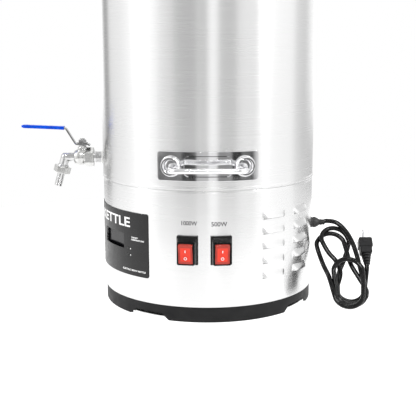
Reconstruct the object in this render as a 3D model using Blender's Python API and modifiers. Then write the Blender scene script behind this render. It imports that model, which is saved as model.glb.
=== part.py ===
"""An electric brew kettle: a stainless vessel on a skirt that holds the heaters and the controls.

Lengths are metres and angles are degrees. +Z is up along the kettle's axis, and the front, with the
switches and one of the handles, faces -Y. A wall angle is 0 at the front and grows towards +X, so the
tap is at -90 and the mains lead leaves at +90. The origin is the centre of the bottom cover's underside,
and the feet reach FOOT_DROP below it.
"""

from math import atan2, cos, pi, radians, sin, sqrt

import bmesh
import bpy
from mathutils import Matrix, Vector

# ---- driving dimensions ----
GAP = 0.0003  # air between pieces that touch
SEGMENTS = 48  # facets round the body
FINE = 16  # facets round a small turned piece

BODY_R = 0.152  # outside of the vessel
VESSEL_WALL = 0.0012
VESSEL_H = 0.495  # seam to rim
VESSEL_SINK = 0.010  # how far the vessel's bottom sits inside the skirt
BEAD_R = 0.0028  # rolled rim
SKIRT_WALL = 0.0010
SKIRT_H = 0.158
SEAM_STEP = 0.0005  # the vessel overhangs the skirt by this

FOOT_DROP = 0.003
RING_H = 0.0206  # floor to the top of the visible black ring
RING_WALL = 0.003
RING_INSET = 0.0012  # the ring's face lies inside the skirt's
RING_SHELF = 0.012  # inward shelf that carries the skirt and the screws
ARCH_H = 0.009  # height of the gaps between the feet
ARCH_TOP = 17.0  # angle of a gap at its top
ARCH_FOOT = 25.0  # angle of a gap at the floor
ARCH_FIRST = 56.8  # wall angle of the first gap
COVER_T = 0.0012
COVER_CLEAR = 0.0008  # gap round the cover, inside the ring
SCREW_R = 0.0018
SCREW_HEAD_R = 0.0034
SCREW_HEAD_H = 0.0018
SCREW_BOSS_R = 0.0042

LID_T = 0.0010
LID_RISE = 0.015  # flat top above the rim
LID_TRAVEL_CLEAR = 0.0010  # side play of the lid's plug in the vessel
LID_HANDLE_SPAN = 0.090
LID_HANDLE_RISE = 0.034
LID_HANDLE_R = 0.0055
LID_HANDLE_BEND = 0.012
LID_SCREW_DEEP = 0.010  # thread inside the handle's leg
LID_DIP = 0.005  # the lid's gutter below the rim
LID_LIP = 0.0015  # brim beyond the bead

PLATE_W = 0.1355  # handle plate, along the wall
PLATE_H = 0.0387
PLATE_T = 0.0012
PLATE_Z = 0.2075  # centre height
PLATE_CORNER = 0.004
POCKET_W = 0.062  # raised rim round the finger pocket
POCKET_H = 0.0265
POCKET_RIM = 0.0035
POCKET_PROUD = 0.0022
BAR_R = 0.0035
BAR_REACH = 0.040  # wall to the middle of the bar
BAR_ANGLE = 18.15  # wall angle of each end
BAR_BEND = 0.008
COLLAR_R = 0.0139
COLLAR_HOLE = 0.0079
COLLAR_H = 0.0062

TAP_Z = 0.2004
NIPPLE_R = 0.0084
NIPPLE_BORE = 0.0055
NIPPLE_IN = 0.017  # inside the vessel's outer face
LOCKNUT_FLATS = 0.027
INNER_SEAL_W = 0.0051  # rubber round the nipple, inside the wall
INNER_SEAT = 0.0175  # half width of the flat that the inner parts need on the round wall
NUT_T = 0.006
WASHER_T = 0.002
WASHER_W = 0.0014  # rubber round the nipple, outside the wall
VALVE_START = 0.0141  # wall to the valve's near face
VALVE_L = 0.0284
VALVE_R = 0.0122
VALVE_HEX = 0.0245  # across the flats
VALVE_HEX_L = 0.0125
VALVE_SHOULDER = 0.0035  # length of the cone at the valve's far end
VALVE_NOSE = 0.0028  # how far that cone narrows
THREAD_L = 0.0070
BALL_R = 0.0065
BALL_BORE = 0.0040
SEAT_BORE = 0.0045
CAVITY_R = 0.0082
VALVE_WEB = 0.0010  # wall between the thread and the ball's cavity
SEAT_T = 0.0024
BALL_SLOT = 0.0018  # depth of the slot on the ball
TANG_T = 0.0014
TANG_H = 0.003
STEM_AT = 0.0305  # wall to the stem
STEM_R = 0.0034
BONNET_R = 0.0068
BONNET_TOP = 0.0150  # above the flow axis
PACKING_R = 0.0051
PACKING_H = 0.0025
PACKING_CLEAR = 0.0003  # round the packing and below it
PACKING_NUT_H = 0.0022
PACKING_NUT_FLATS = 0.0104
PAD_HEIGHT = 0.0124  # round pad on the bonnet's front, above the flow axis
PAD_R = 0.0046
LEVER_T = 0.0020
LEVER_W = 0.0092
LEVER_RISE = 0.0235  # plate to grip
LEVER_SLOPE = 59.0
LEVER_TAIL = 0.0092  # plate behind the stem
LEVER_FRONT = 0.0095  # plate ahead of the stem, to the bend
GRIP_L = 0.062
GRIP_W = 0.0110
GRIP_T = 0.0048
GRIP_TILT = 2.5
GRIP_START = 0.002  # the sleeve starts this far past the bend
LEVER_NUT_H = 0.0052
LEVER_NUT_FLATS = 0.0108
STEM_END = 0.0022  # the stem shows above its nut by this
SPOUT_R = 0.0064
SPOUT_BORE = 0.0044
SPOUT_CORNER = 0.0559  # wall to the elbow's corner
SPOUT_TILT = 16.0
SPOUT_BEND = 0.0075
UNION_AT = 0.0135  # corner to the union nut, along the leg
UNION_H = 0.0098
UNION_FLATS = 0.0215
UNION_SEAT = 0.45  # where the pipe ends inside the nut, as a share of its height
TAIL_L = 0.0205
TAIL_R = 0.0056
TAIL_BORE = 0.0036
BARB_DEPTH = 0.0009
BARB_PITCH = 0.0055
UNION_SEAL_T = 0.0012

SWITCH_ANGLES = {"1000w": -10.3, "500w": 6.5}
SWITCH_Z = 0.0965
SWITCH_W = 0.0284
SWITCH_H = 0.0385
SWITCH_FLANGE = 0.0018
SWITCH_STEP = 0.0006  # the collar starts inside the flange's edge by this
SWITCH_REACH = 0.0120  # wall to the collar's mouth
SWITCH_MOUTH_W = 0.0236
SWITCH_MOUTH_H = 0.0308
SWITCH_MOUTH_DROP = 0.0022  # the mouth and its rocker sit below the flange's middle
SWITCH_DEPTH = 0.022  # body behind the wall
TAB = (0.0008, 0.012, 0.0063)  # one of the four connection blades
TAB_X = 0.006
TAB_Z = 0.008
ROCKER_W = 0.0188
ROCKER_R = 0.0134  # half its height, as the radius of its round ends
ROCKER_PROUD = 0.0028  # above the collar's mouth, at the middle
ROCKER_PIVOT = 0.0015  # below the collar's mouth
ROCKER_THROW = 9.0  # each side of level
ROCKER_CLEAR = 0.0004
ROCKER_SKIRT = 38  # how far the round ends run below level

PANEL_ANGLE = -60.0
PANEL_W = 0.1500  # along the wall
PANEL_H = 0.0880
PANEL_T = 0.0008
PANEL_Z = 0.0962
PANEL_CORNER = 0.003
WINDOW_W = 0.058
WINDOW_H = 0.021
WINDOW_Z = 0.0984
LENS_T = 0.0015
KEY_SIDE = 0.0375  # wall distance from the window's middle to the keys
KEY_ZS = (0.0892, 0.0805)
KEY_R = 0.0024
KEY_PROUD = 0.0006
KEY_TRAVEL = 0.0005
BOARD_DEPTH = 0.0285  # wall to the board's front
BOARD_W = 0.100
BOARD_H = 0.064
BOARD_T = 0.0016
LENS_EDGE = 0.002  # the lens runs past the window by this
RELAY = (0.030, 0.018, 0.020)
RELAY_AT = (0.010, -0.014)  # along the board, above its middle
KEY_STALK = 0.0055
KEY_COLLAR_R = 0.0036
KEY_COLLAR_AT = 0.0030

LOUVRE_ANGLES = (35.7, 57.3)
LOUVRE_ZS = (0.0541, 0.0744, 0.0947, 0.1149, 0.1352)
LOUVRE_W = 0.0365
LOUVRE_H = 0.0092
LOUVRE_PROUD = 0.0042
LOUVRE_WALL = 0.0010

PLATE_HEAT_R = 0.090
PLATE_HEAT_T = 0.004
ELEMENT_R = 0.0034
ELEMENTS = {"1000w": 0.074, "500w": 0.048}
ELEMENT_LEG = 0.024
CLAMP_T = 0.002
CLAMP_W = 0.022
CLAMP_END = 0.010  # the bar runs past the outer loop by this
STUD_R = 0.004
STUD_END = 0.012  # thread below the bar
CLAMP_NUT_FLATS = 0.013
CLAMP_NUT_H = 0.006
LOOP_MOUTH = 0.006  # half the space between the ends of a loop
CUTOUT_R = 0.0085
CUTOUT_H = 0.011
CUTOUT_AT = (-0.018, 0.026, 0)
PROBE_R = 0.003
PROBE_L = 0.030
PROBE_AT = (0.022, -0.024, 0)

GLAND_Z = 0.1022
GLAND_R = 0.0078
GLAND_OUT = 0.0130
GLAND_IN = 0.0120
GLAND_STEP = 0.0012  # its barrel is thinner than its collar by this
GLAND_NOSE = (0.0025, 0.004)  # how far the nose narrows, and its length
TERMINAL = (0.020, 0.046, 0.016)
TERMINAL_X = 0.112
CORD_R = 0.0034

# The hank leans back beside the skirt: its foot is on the floor, its head is at the gland.
HANK_FOOT = Vector((0, -0.087, -FOOT_DROP))
HANK_LEAN = 50.4  # from level
HANK_LEFT = 0.1685
HANK_RIGHT = 0.2165
HANK_LOW = 0.0090
HANK_HIGH = 0.1230
HANK_THICK = 0.0204
PLUG_AT = (0.2295, 0.088)  # across and up the hank's plane
PLUG_L = 0.040
PLUG_W = 0.0205
PLUG_T = 0.0185
PIN_PITCH = 0.0127
BLADE_L = 0.0175
BLADE_T = 0.0015
BLADE_W = 0.0063
BLADE_Y = -0.002
EARTH_R = 0.0024
EARTH_Y = 0.0058
EARTH_LONGER = 0.004  # the earth pin outreaches the blades by this
PLUG_NARROW = 0.5  # the neck's end, as a share of the body

# ---- what follows from them ----
FLOOR = -FOOT_DROP
RING_TOP = FLOOR + RING_H
SEAM = RING_TOP + SKIRT_H
RIM = SEAM + VESSEL_H
SKIRT_R = BODY_R - SEAM_STEP
SKIRT_IN = SKIRT_R - SKIRT_WALL
VESSEL_BOTTOM = SEAM - VESSEL_SINK
VESSEL_IN = BODY_R - VESSEL_WALL
RING_R = SKIRT_R - RING_INSET

bpy.context.scene.unit_settings.scale_length = 1.0
for old in list(bpy.data.objects):
    bpy.data.objects.remove(old, do_unlink=True)
kettle = bpy.data.collections.new("brew_kettle")
cutters = bpy.data.collections.new("cutters")
cutters.hide_render = True
bpy.context.scene.collection.children.link(kettle)
bpy.context.scene.collection.children.link(cutters)


# ---- helpers ----
def material(name, colour, roughness, metallic=0.0):
    made = bpy.data.materials.get(name)
    if made is None:
        made = bpy.data.materials.new(name)
        made.use_nodes = True
        shader = made.node_tree.nodes["Principled BSDF"]
        shader.inputs["Base Color"].default_value = (*colour, 1)
        shader.inputs["Roughness"].default_value = roughness
        shader.inputs["Metallic"].default_value = metallic
    return made


def steel():
    return material("brushed_steel", (0.72, 0.72, 0.73), 0.3, 1.0)


def polished():
    return material("polished_steel", (0.8, 0.8, 0.81), 0.08, 1.0)


def aluminium():
    return material("aluminium", (0.75, 0.76, 0.77), 0.4, 1.0)


def black():
    return material("black_plastic", (0.02, 0.02, 0.022), 0.45)


def charcoal():
    return material("base_plastic", (0.045, 0.045, 0.048), 0.55)


def silicone():
    return material("silicone", (0.8, 0.8, 0.78), 0.5)


def rubber():
    return material("cord_rubber", (0.015, 0.015, 0.016), 0.3)


def add(name, data, finish=None, where=(0, 0, 0), turn=(0, 0, 0), parent=None):
    """One object: a part with its finish, or a cutter when no finish is given."""
    made = bpy.data.objects.new(name, data)
    (kettle if finish else cutters).objects.link(made)
    made.location = where
    made.rotation_euler = turn
    made.parent = parent
    if finish:
        data.materials.append(finish)
    else:
        made.hide_render = True
        made.display_type = "WIRE"
    return made


def empty(name, where, turn=(0, 0, 0), parent=None):
    made = bpy.data.objects.new(name, None)
    kettle.objects.link(made)
    made.location = where
    made.rotation_euler = turn
    made.parent = parent
    return made


def mesh_from(name, build):
    """A mesh that build(bm) fills."""
    bm = bmesh.new()
    build(bm)
    bmesh.ops.recalc_face_normals(bm, faces=bm.faces)
    data = bpy.data.meshes.new(name)
    bm.to_mesh(data)
    bm.free()
    return data


def add_block(bm, size, centre, turn=None):
    corners = bmesh.ops.create_cube(bm, size=1)["verts"]
    bmesh.ops.scale(bm, vec=size, verts=corners)
    bmesh.ops.translate(bm, vec=centre, verts=corners)
    if turn is not None:
        bmesh.ops.transform(bm, matrix=turn, verts=corners)
    return corners


def add_rod(bm, radius, low, high, sides=FINE, place=None, radius_high=None):
    """A cylinder or cone on Z from low to high, then moved by place."""
    made = bmesh.ops.create_cone(
        bm,
        cap_ends=True,
        segments=sides,
        radius1=radius,
        radius2=radius if radius_high is None else radius_high,
        depth=high - low,
    )["verts"]
    bmesh.ops.translate(bm, vec=(0, 0, (high + low) / 2), verts=made)
    if place is not None:
        bmesh.ops.transform(bm, matrix=place, verts=made)
    return made


def block(name, size, centre, finish=None, **where):
    return add(name, mesh_from(name, lambda bm: add_block(bm, size, centre)), finish, **where)


def rod(name, radius, low, high, finish=None, sides=FINE, **where):
    return add(name, mesh_from(name, lambda bm: add_rod(bm, radius, low, high, sides)), finish, **where)


def turned(name, profile, finish=None, steps=SEGMENTS, closed=True, **where):
    """A profile of (radius, height) points turned about Z, its outer side running down at +X."""
    data = bpy.data.meshes.new(name)
    count = len(profile)
    edges = [(i, (i + 1) % count) for i in range(count if closed else count - 1)]
    data.from_pydata([(r, 0, z) for r, z in profile], edges, [])
    made = add(name, data, finish, **where)
    screw = made.modifiers.new("turn", "SCREW")
    screw.steps = screw.render_steps = steps
    screw.use_merge_vertices = True
    screw.merge_threshold = 0.00001
    screw.use_normal_calculate = False
    return made


def ring(name, inner, outer, low, high, finish=None, steps=FINE, **where):
    profile = [(inner, low), (inner, high), (outer, high), (outer, low)]
    return turned(name, profile, finish, steps, **where)


def tube(name, points, radius, finish, resolution=2, **where):
    """A round bar along straight pieces between points."""
    curve = bpy.data.curves.new(name, "CURVE")
    curve.dimensions = "3D"
    curve.bevel_depth = radius
    curve.bevel_resolution = resolution
    curve.use_fill_caps = True
    spline = curve.splines.new("POLY")
    spline.points.add(len(points) - 1)
    for point, place in zip(spline.points, points):
        point.co = (*place, 1)
    return add(name, curve, finish, **where)


def prism(name, outline, depth, finish=None, **where):
    """A closed outline in local X and Z, as thick as depth along local Y, centred on it."""
    curve = bpy.data.curves.new(name, "CURVE")
    curve.dimensions = "2D"
    curve.fill_mode = "BOTH"
    curve.extrude = depth / 2
    spline = curve.splines.new("POLY")
    spline.points.add(len(outline) - 1)
    for point, (x, z) in zip(spline.points, outline):
        point.co = (x, z, 0, 1)
    spline.use_cyclic_u = True
    made = add(name, curve, finish)
    solid = to_mesh(made, Matrix.Rotation(pi / 2, 4, "X"))
    place(solid, **where)
    return solid


def place(obj, where=(0, 0, 0), turn=(0, 0, 0), parent=None):
    obj.location = where
    obj.rotation_euler = turn
    obj.parent = parent


def to_mesh(obj, turned_by=None):
    """The evaluated shape of obj, its loose caps welded, as a mesh object of the same name."""
    bpy.context.view_layer.update()
    graph = bpy.context.evaluated_depsgraph_get()
    data = bpy.data.meshes.new_from_object(obj.evaluated_get(graph))
    bm = bmesh.new()
    bm.from_mesh(data)
    bmesh.ops.remove_doubles(bm, verts=bm.verts, dist=0.000001)
    if turned_by is not None:
        bmesh.ops.transform(bm, matrix=turned_by, verts=bm.verts)
    bmesh.ops.recalc_face_normals(bm, faces=bm.faces)
    bm.to_mesh(data)
    bm.free()
    name, group = obj.name, obj.users_collection[0]
    made = bpy.data.objects.new(name + "_solid", data)
    group.objects.link(made)
    made.matrix_world = obj.matrix_world
    made.hide_render = obj.hide_render
    made.display_type = obj.display_type
    bpy.data.objects.remove(obj, do_unlink=True)
    made.name = name
    return made


def cut(obj, other, how="DIFFERENCE", solver="EXACT"):
    boolean = obj.modifiers.new(how.lower() + "_" + other.name, "BOOLEAN")
    boolean.operation = how
    boolean.object = other
    boolean.solver = solver
    return obj


def rounded(width, height, corner, steps=4, centre=(0, 0)):
    """A rectangle's outline with round corners, anticlockwise."""
    points = []
    for quarter, (sx, sz) in enumerate(((1, 1), (-1, 1), (-1, -1), (1, -1))):
        x = centre[0] + sx * (width / 2 - corner)
        z = centre[1] + sz * (height / 2 - corner)
        for step in range(steps + 1):
            a = radians(90 * quarter + 90 * step / steps)
            points.append((x + corner * cos(a), z + corner * sin(a)))
    return points


def wall_turn(angle):
    """The turn that carries a piece built facing the front to this wall angle."""
    return (0, 0, radians(angle))


def on_wall(angle, radius, z):
    a = radians(angle)
    return Vector((radius * sin(a), -radius * cos(a), z))


def wrapped_plate(name, angle, width, height, corner, z, inner, outer, finish):
    """A plate that follows the round wall between two radii, with a rounded outline."""
    low, high = z - height, z + height
    plate = turned(name, [(inner, low), (inner, high), (outer, high), (outer, low)], finish)
    chord = 2 * outer * sin(width / 2 / outer)
    outline = prism(name + "_outline", rounded(chord, height, corner), outer)
    place(outline, where=on_wall(angle, outer / 2 + BODY_R * 0.5, z), turn=wall_turn(angle))
    return cut(plate, outline, "INTERSECT")


def arc(centre, radius, start, end, steps):
    return [
        (centre[0] + radius * cos(radians(a)), centre[1] + radius * sin(radians(a)))
        for a in (start + (end - start) * i / steps for i in range(steps + 1))
    ]


def hexagon(name, flats, bore, low, high, finish, parent=None, where=(0, 0, 0), turn=(0, 0, 0)):
    """A hexagon nut on local Z, bored through."""
    nut = rod(name, flats / sqrt(3), low, high, finish, 6, where=where, turn=turn, parent=parent)
    hole = rod(name + "_bore", bore, low - 0.002, high + 0.002, where=where, turn=turn, parent=parent)
    return cut(nut, hole)


# ---- vessel and lid ----
def vessel():
    step_r = SKIRT_IN - GAP
    floor = VESSEL_BOTTOM + VESSEL_WALL
    inner_step = step_r - VESSEL_WALL
    bead = (BODY_R + BEAD_R * 0.45, RIM - BEAD_R)
    profile = [
        (0, floor),
        (inner_step - 0.004, floor),
        (inner_step, floor + 0.004),
        (VESSEL_IN, SEAM + 0.003),
        (VESSEL_IN, RIM - 2 * BEAD_R),
        *arc(bead, BEAD_R, 180, -90, 6),
        (BODY_R, RIM - 2 * BEAD_R - 0.0008),
        (BODY_R, SEAM + GAP),
        (step_r, SEAM + GAP),
        (step_r, VESSEL_BOTTOM + 0.004),
        (step_r - 0.004, VESSEL_BOTTOM),
        (0, VESSEL_BOTTOM),
    ]
    shell = turned("vessel", profile, steel(), closed=False)
    hole = rod("tap_hole", NIPPLE_R + GAP, -0.02, 0.02, parent=tap_frame)
    cut(shell, hole)


def lid():
    frame = empty("lid_frame", (0, 0, RIM))
    plug_r = VESSEL_IN - LID_TRAVEL_CLEAR - LID_T
    brim = BODY_R + BEAD_R * 1.45 + LID_LIP
    top = [
        (0, LID_RISE),
        (0.075, LID_RISE),
        (plug_r - 0.040, LID_RISE - 0.003),
        (plug_r - 0.012, -LID_DIP),
        (plug_r - 0.002, -LID_DIP),
        (plug_r, 0.002 - LID_DIP),
        (plug_r + 0.0001, LID_T + GAP),
        (brim, LID_T + GAP),
        (brim + 0.0012, -LID_LIP),
    ]
    sheet = turned("lid", top, steel(), closed=False, parent=frame)
    wall = sheet.modifiers.new("sheet", "SOLIDIFY")
    wall.thickness = LID_T
    wall.offset = -1
    wall.use_even_offset = True
    half = LID_HANDLE_SPAN / 2
    bend = LID_HANDLE_BEND
    low, high = LID_RISE + GAP, LID_RISE + LID_HANDLE_RISE
    path = [(-half, low)]
    path += arc((-half + bend, high - bend), bend, 180, 90, 4)
    path += arc((half - bend, high - bend), bend, 90, 0, 4)
    path += [(half, low)]
    bow = tube("lid_handle", [(x, 0, z) for x, z in path], LID_HANDLE_R, black(), 3, parent=frame)
    bow = to_mesh(bow)
    for side, x in (("left", -half), ("right", half)):
        deep = low + LID_SCREW_DEEP
        tapped = rod("lid_tap_" + side, SCREW_R + GAP, low - 0.004, deep + 0.001, where=(x, 0, RIM))
        cut(bow, tapped)
        cut(sheet, rod("lid_hole_" + side, SCREW_R + GAP, low - 0.004, low, where=(x, 0, RIM)))

        def pin(bm, head=LID_RISE - LID_T - GAP, tip=deep):
            add_rod(bm, SCREW_R, head - 0.0001, tip)

        screw = add("lid_screw_" + side, mesh_from("lid_screw", pin), steel(), (x, 0, 0), parent=frame)
        head = rod("lid_screw_head_" + side, SCREW_HEAD_R, -SCREW_HEAD_H, 0, where=(x, 0, 0), parent=frame)
        head.location.z = LID_RISE - LID_T - GAP
        cut(screw, head, "UNION")


# ---- skirt, base ring and bottom cover ----
def louvre_wedge(bm, angle, z, shrink, drop):
    """A pressed hood: deep along its lower edge, closing to the wall at its top and ends."""
    sunk = 0.0026  # the wedge starts inside the wall, so that it leaves the wall at a clean angle
    top_proud = -sunk - shrink
    low_proud = LOUVRE_PROUD - shrink
    tall = LOUVRE_H * (LOUVRE_PROUD + sunk) / LOUVRE_PROUD - shrink
    back = SKIRT_IN - 0.002 - shrink * 4
    for corner in add_block(bm, (1, 1, 1), (0, 0, 0)):
        side = 1 if corner.co.x > 0 else -1
        front, above = corner.co.y < 0, corner.co.z > 0
        wide = LOUVRE_W / 2 + 0.002 - shrink - (0.006 if front else 0)
        out = SKIRT_R + (top_proud if above else low_proud)
        corner.co = (side * wide, -out if front else -back, z + tall if above else z - drop)
        corner.co = Matrix.Rotation(radians(angle), 4, "Z") @ corner.co


def louvres(bm, shrink=0.0, drop=0.0):
    for angle in LOUVRE_ANGLES:
        for z in LOUVRE_ZS:
            louvre_wedge(bm, angle, z, shrink, drop)


def panel_openings(bm, grow=0.0):
    """The window and the key holes, through both the skirt and the panel."""
    turn = Matrix.Rotation(radians(PANEL_ANGLE), 4, "Z")
    size = (WINDOW_W + 2 * grow, 0.02, WINDOW_H + 2 * grow)
    add_block(bm, size, (0, -BODY_R, WINDOW_Z), turn)
    for angle, z in key_places():
        hole = Matrix.Translation(on_wall(angle, BODY_R - 0.01, z))
        hole = hole @ Matrix.Rotation(radians(angle), 4, "Z") @ Matrix.Rotation(pi / 2, 4, "X")
        add_rod(bm, KEY_R + GAP + grow, -0.002, 0.018, 12, hole)


def key_places():
    angle = PANEL_ANGLE + KEY_SIDE / SKIRT_R * 180 / pi
    return [(angle, z) for z in KEY_ZS]


def skirt_openings(bm):
    panel_openings(bm)
    for angle in SWITCH_ANGLES.values():
        turn = Matrix.Rotation(radians(angle), 4, "Z")
        size = (SWITCH_MOUTH_W + 2 * GAP, 0.03, SWITCH_MOUTH_H + 2 * GAP)
        add_block(bm, size, (0, -BODY_R, SWITCH_Z), turn)
    out = Matrix.Translation((BODY_R - 0.01, 0, GLAND_Z)) @ Matrix.Rotation(pi / 2, 4, "Y")
    add_rod(bm, GLAND_R - GLAND_STEP + GAP, -0.005, 0.02, FINE, out)


def skirt():
    # The shell starts as a solid drum, and is hollowed once the hoods have joined it.
    drum = [(0, SEAM), (SKIRT_R, SEAM), (SKIRT_R, RING_TOP + GAP), (0, RING_TOP + GAP)]
    shell = turned("base_skirt", drum, steel(), closed=False)
    hoods = add("louvre_hoods", mesh_from("louvre_hoods", louvres))
    hollow = mesh_from("louvre_hollows", lambda bm: louvres(bm, LOUVRE_WALL, 0.0012))
    core = [(0, RIM), (SKIRT_IN, RIM), (SKIRT_IN, FLOOR), (0, FLOOR)]
    # Every mesh here is closed, and the hoods graze the wall, which only this solver takes in its stride.
    for other, how in (
        (hoods, "UNION"),
        (turned("skirt_core", core, closed=False), "DIFFERENCE"),
        (add("louvre_hollows", hollow), "DIFFERENCE"),
        (add("skirt_openings", mesh_from("skirt_openings", skirt_openings)), "DIFFERENCE"),
    ):
        cut(shell, other, how, "MANIFOLD")


def boss_places():
    return [on_wall(ARCH_FIRST + 45 + 90 * i, RING_R - RING_WALL - SCREW_BOSS_R, 0) for i in range(4)]


def base_ring():
    inner = RING_R - RING_WALL
    lip = SKIRT_IN - GAP
    shelf = RING_TOP - RING_WALL
    profile = [
        (inner, FLOOR),
        (inner, shelf),
        (inner - RING_SHELF, shelf),
        (inner - RING_SHELF, RING_TOP),
        (lip - 0.002, RING_TOP),
        (lip - 0.002, RING_TOP + 0.010),
        (lip, RING_TOP + 0.010),
        (lip, RING_TOP),
        (RING_R, RING_TOP),
        (RING_R, FLOOR),
    ]
    moulding = turned("base_ring", profile, charcoal())

    def arches(bm):
        deep = 2 * RING_WALL
        for i in range(4):
            corners = add_block(bm, (1, 1, 1), (0, 0, 0))
            for corner in corners:
                above = corner.co.z > 0
                half = radians(ARCH_TOP if above else ARCH_FOOT) / 2
                side = 1 if corner.co.x > 0 else -1
                radius = RING_R + deep if corner.co.y < 0 else RING_R - deep
                wide = RING_R * sin(half) * side
                corner.co = (wide, -radius, FLOOR + ARCH_H if above else FLOOR - 0.002)
                if not above:
                    corner.co.x *= 1 + 0.002 / ARCH_H * (ARCH_FOOT / ARCH_TOP - 1)
            turn = Matrix.Rotation(radians(ARCH_FIRST + 90 * i), 4, "Z")
            bmesh.ops.transform(bm, matrix=turn, verts=corners)

    def bosses(bm):
        for spot in boss_places():
            low = COVER_T + GAP
            add_rod(bm, SCREW_BOSS_R, low, shelf + 0.001, 12, Matrix.Translation(spot))

    def tapped(bm):
        for spot in boss_places():
            add_rod(bm, SCREW_R + GAP, -0.001, 0.0125, 12, Matrix.Translation(spot))

    cut(moulding, add("ring_arches", mesh_from("ring_arches", arches)))
    cut(moulding, add("ring_bosses", mesh_from("ring_bosses", bosses)), "UNION")
    cut(moulding, add("ring_tapped", mesh_from("ring_tapped", tapped)))


def bottom_cover():
    edge = RING_R - RING_WALL - COVER_CLEAR
    disc = turned("bottom_cover", [(0, COVER_T), (edge, COVER_T), (edge, 0), (0, 0)], steel(), closed=False)

    def openings(bm):
        for spot in boss_places():
            add_rod(bm, SCREW_R + GAP, -0.002, 0.003, 12, Matrix.Translation(spot))
        for i in range(10):
            turn = Matrix.Rotation(radians(36 * i + 18), 4, "Z")
            add_block(bm, (0.006, 0.040, 0.006), (0, -0.085, 0), turn)

    cut(disc, add("cover_openings", mesh_from("cover_openings", openings)))
    for i, spot in enumerate(boss_places(), 1):

        def pin(bm):
            add_rod(bm, SCREW_R, -GAP - 0.0001, 0.0115, 12)

        screw = add(f"cover_screw_{i}", mesh_from("cover_screw", pin), steel(), spot)
        head = rod(f"cover_screw_head_{i}", SCREW_HEAD_R, -GAP - SCREW_HEAD_H, -GAP, None, 12, where=spot)
        cut(screw, head, "UNION")


# ---- handles ----
def bar_handle(side, angle):
    base = empty(side + "_handle", (0, 0, PLATE_Z), wall_turn(angle))
    inner = BODY_R + GAP
    outer = inner + PLATE_T
    name = side + "_handle_plate"
    plate = wrapped_plate(name, angle, PLATE_W, PLATE_H, PLATE_CORNER, PLATE_Z, inner, outer, polished())
    rim = wrapped_plate(
        name + "_rim", angle, POCKET_W, POCKET_H, POCKET_H * 0.4, PLATE_Z, inner, outer + POCKET_PROUD, None
    )
    pocket = prism(
        name + "_pocket",
        rounded(POCKET_W - 2 * POCKET_RIM, POCKET_H - 2 * POCKET_RIM, POCKET_H * 0.4 - POCKET_RIM),
        0.02,
        where=(0, -outer - 0.0095, 0),
        parent=base,
    )
    cut(rim, pocket)
    cut(plate, rim, "UNION")
    span = outer * sin(radians(BAR_ANGLE))
    reach = BODY_R + BAR_REACH
    nearest = sqrt(outer**2 - (span - BAR_R) ** 2) + GAP
    path = [(-span, -nearest)]
    path += [(x, -y) for x, y in arc((-span + BAR_BEND, reach - BAR_BEND), BAR_BEND, 180, 90, 4)]
    path += [(x, -y) for x, y in arc((span - BAR_BEND, reach - BAR_BEND), BAR_BEND, 90, 0, 4)]
    path += [(span, -nearest)]
    tube(side + "_handle_bar", [(x, y, 0) for x, y in path], BAR_R, polished(), 2, parent=base)
    # The collars are welded on, so their feet sink into the plate.
    profile = [
        (COLLAR_HOLE, -PLATE_T * 0.75),
        (COLLAR_HOLE, COLLAR_H * 0.6),
        (COLLAR_HOLE + 0.0018, COLLAR_H),
        (COLLAR_R - 0.0022, COLLAR_H),
        (COLLAR_R, COLLAR_H * 0.55),
        (COLLAR_R, -PLATE_T * 0.75),
    ]
    for hand, sign in (("left", -1), ("right", 1)):
        spin = empty(f"{side}_{hand}_collar_frame", (0, 0, 0), wall_turn(sign * BAR_ANGLE), base)
        foot = {"where": (0, -outer, 0), "turn": (pi / 2, 0, 0), "parent": spin}
        cut(plate, turned(f"{side}_handle_collar_{hand}", profile, None, FINE, **foot), "UNION")


# ---- tap ----
# tap_frame stands on the vessel's wall: its Z runs out along the flow, its X is up.
def tap_fittings():
    far = VALVE_START + THREAD_L - GAP
    ring("tap_nipple", NIPPLE_BORE, NIPPLE_R, -NIPPLE_IN, far, steel(), parent=tap_frame)
    bored = NIPPLE_R + GAP
    inside = sqrt(VESSEL_IN**2 - INNER_SEAT**2) - BODY_R - GAP
    ring("tap_seal_outer", bored, NIPPLE_R + WASHER_W, GAP, WASHER_T, silicone(), parent=tap_frame)
    ring("tap_seal_inner", bored, NIPPLE_R + INNER_SEAL_W, inside - WASHER_T, inside, silicone(), parent=tap_frame)
    nut_top = inside - WASHER_T - GAP
    hexagon("tap_locknut", LOCKNUT_FLATS, bored, nut_top - NUT_T, nut_top, steel(), tap_frame)


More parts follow.
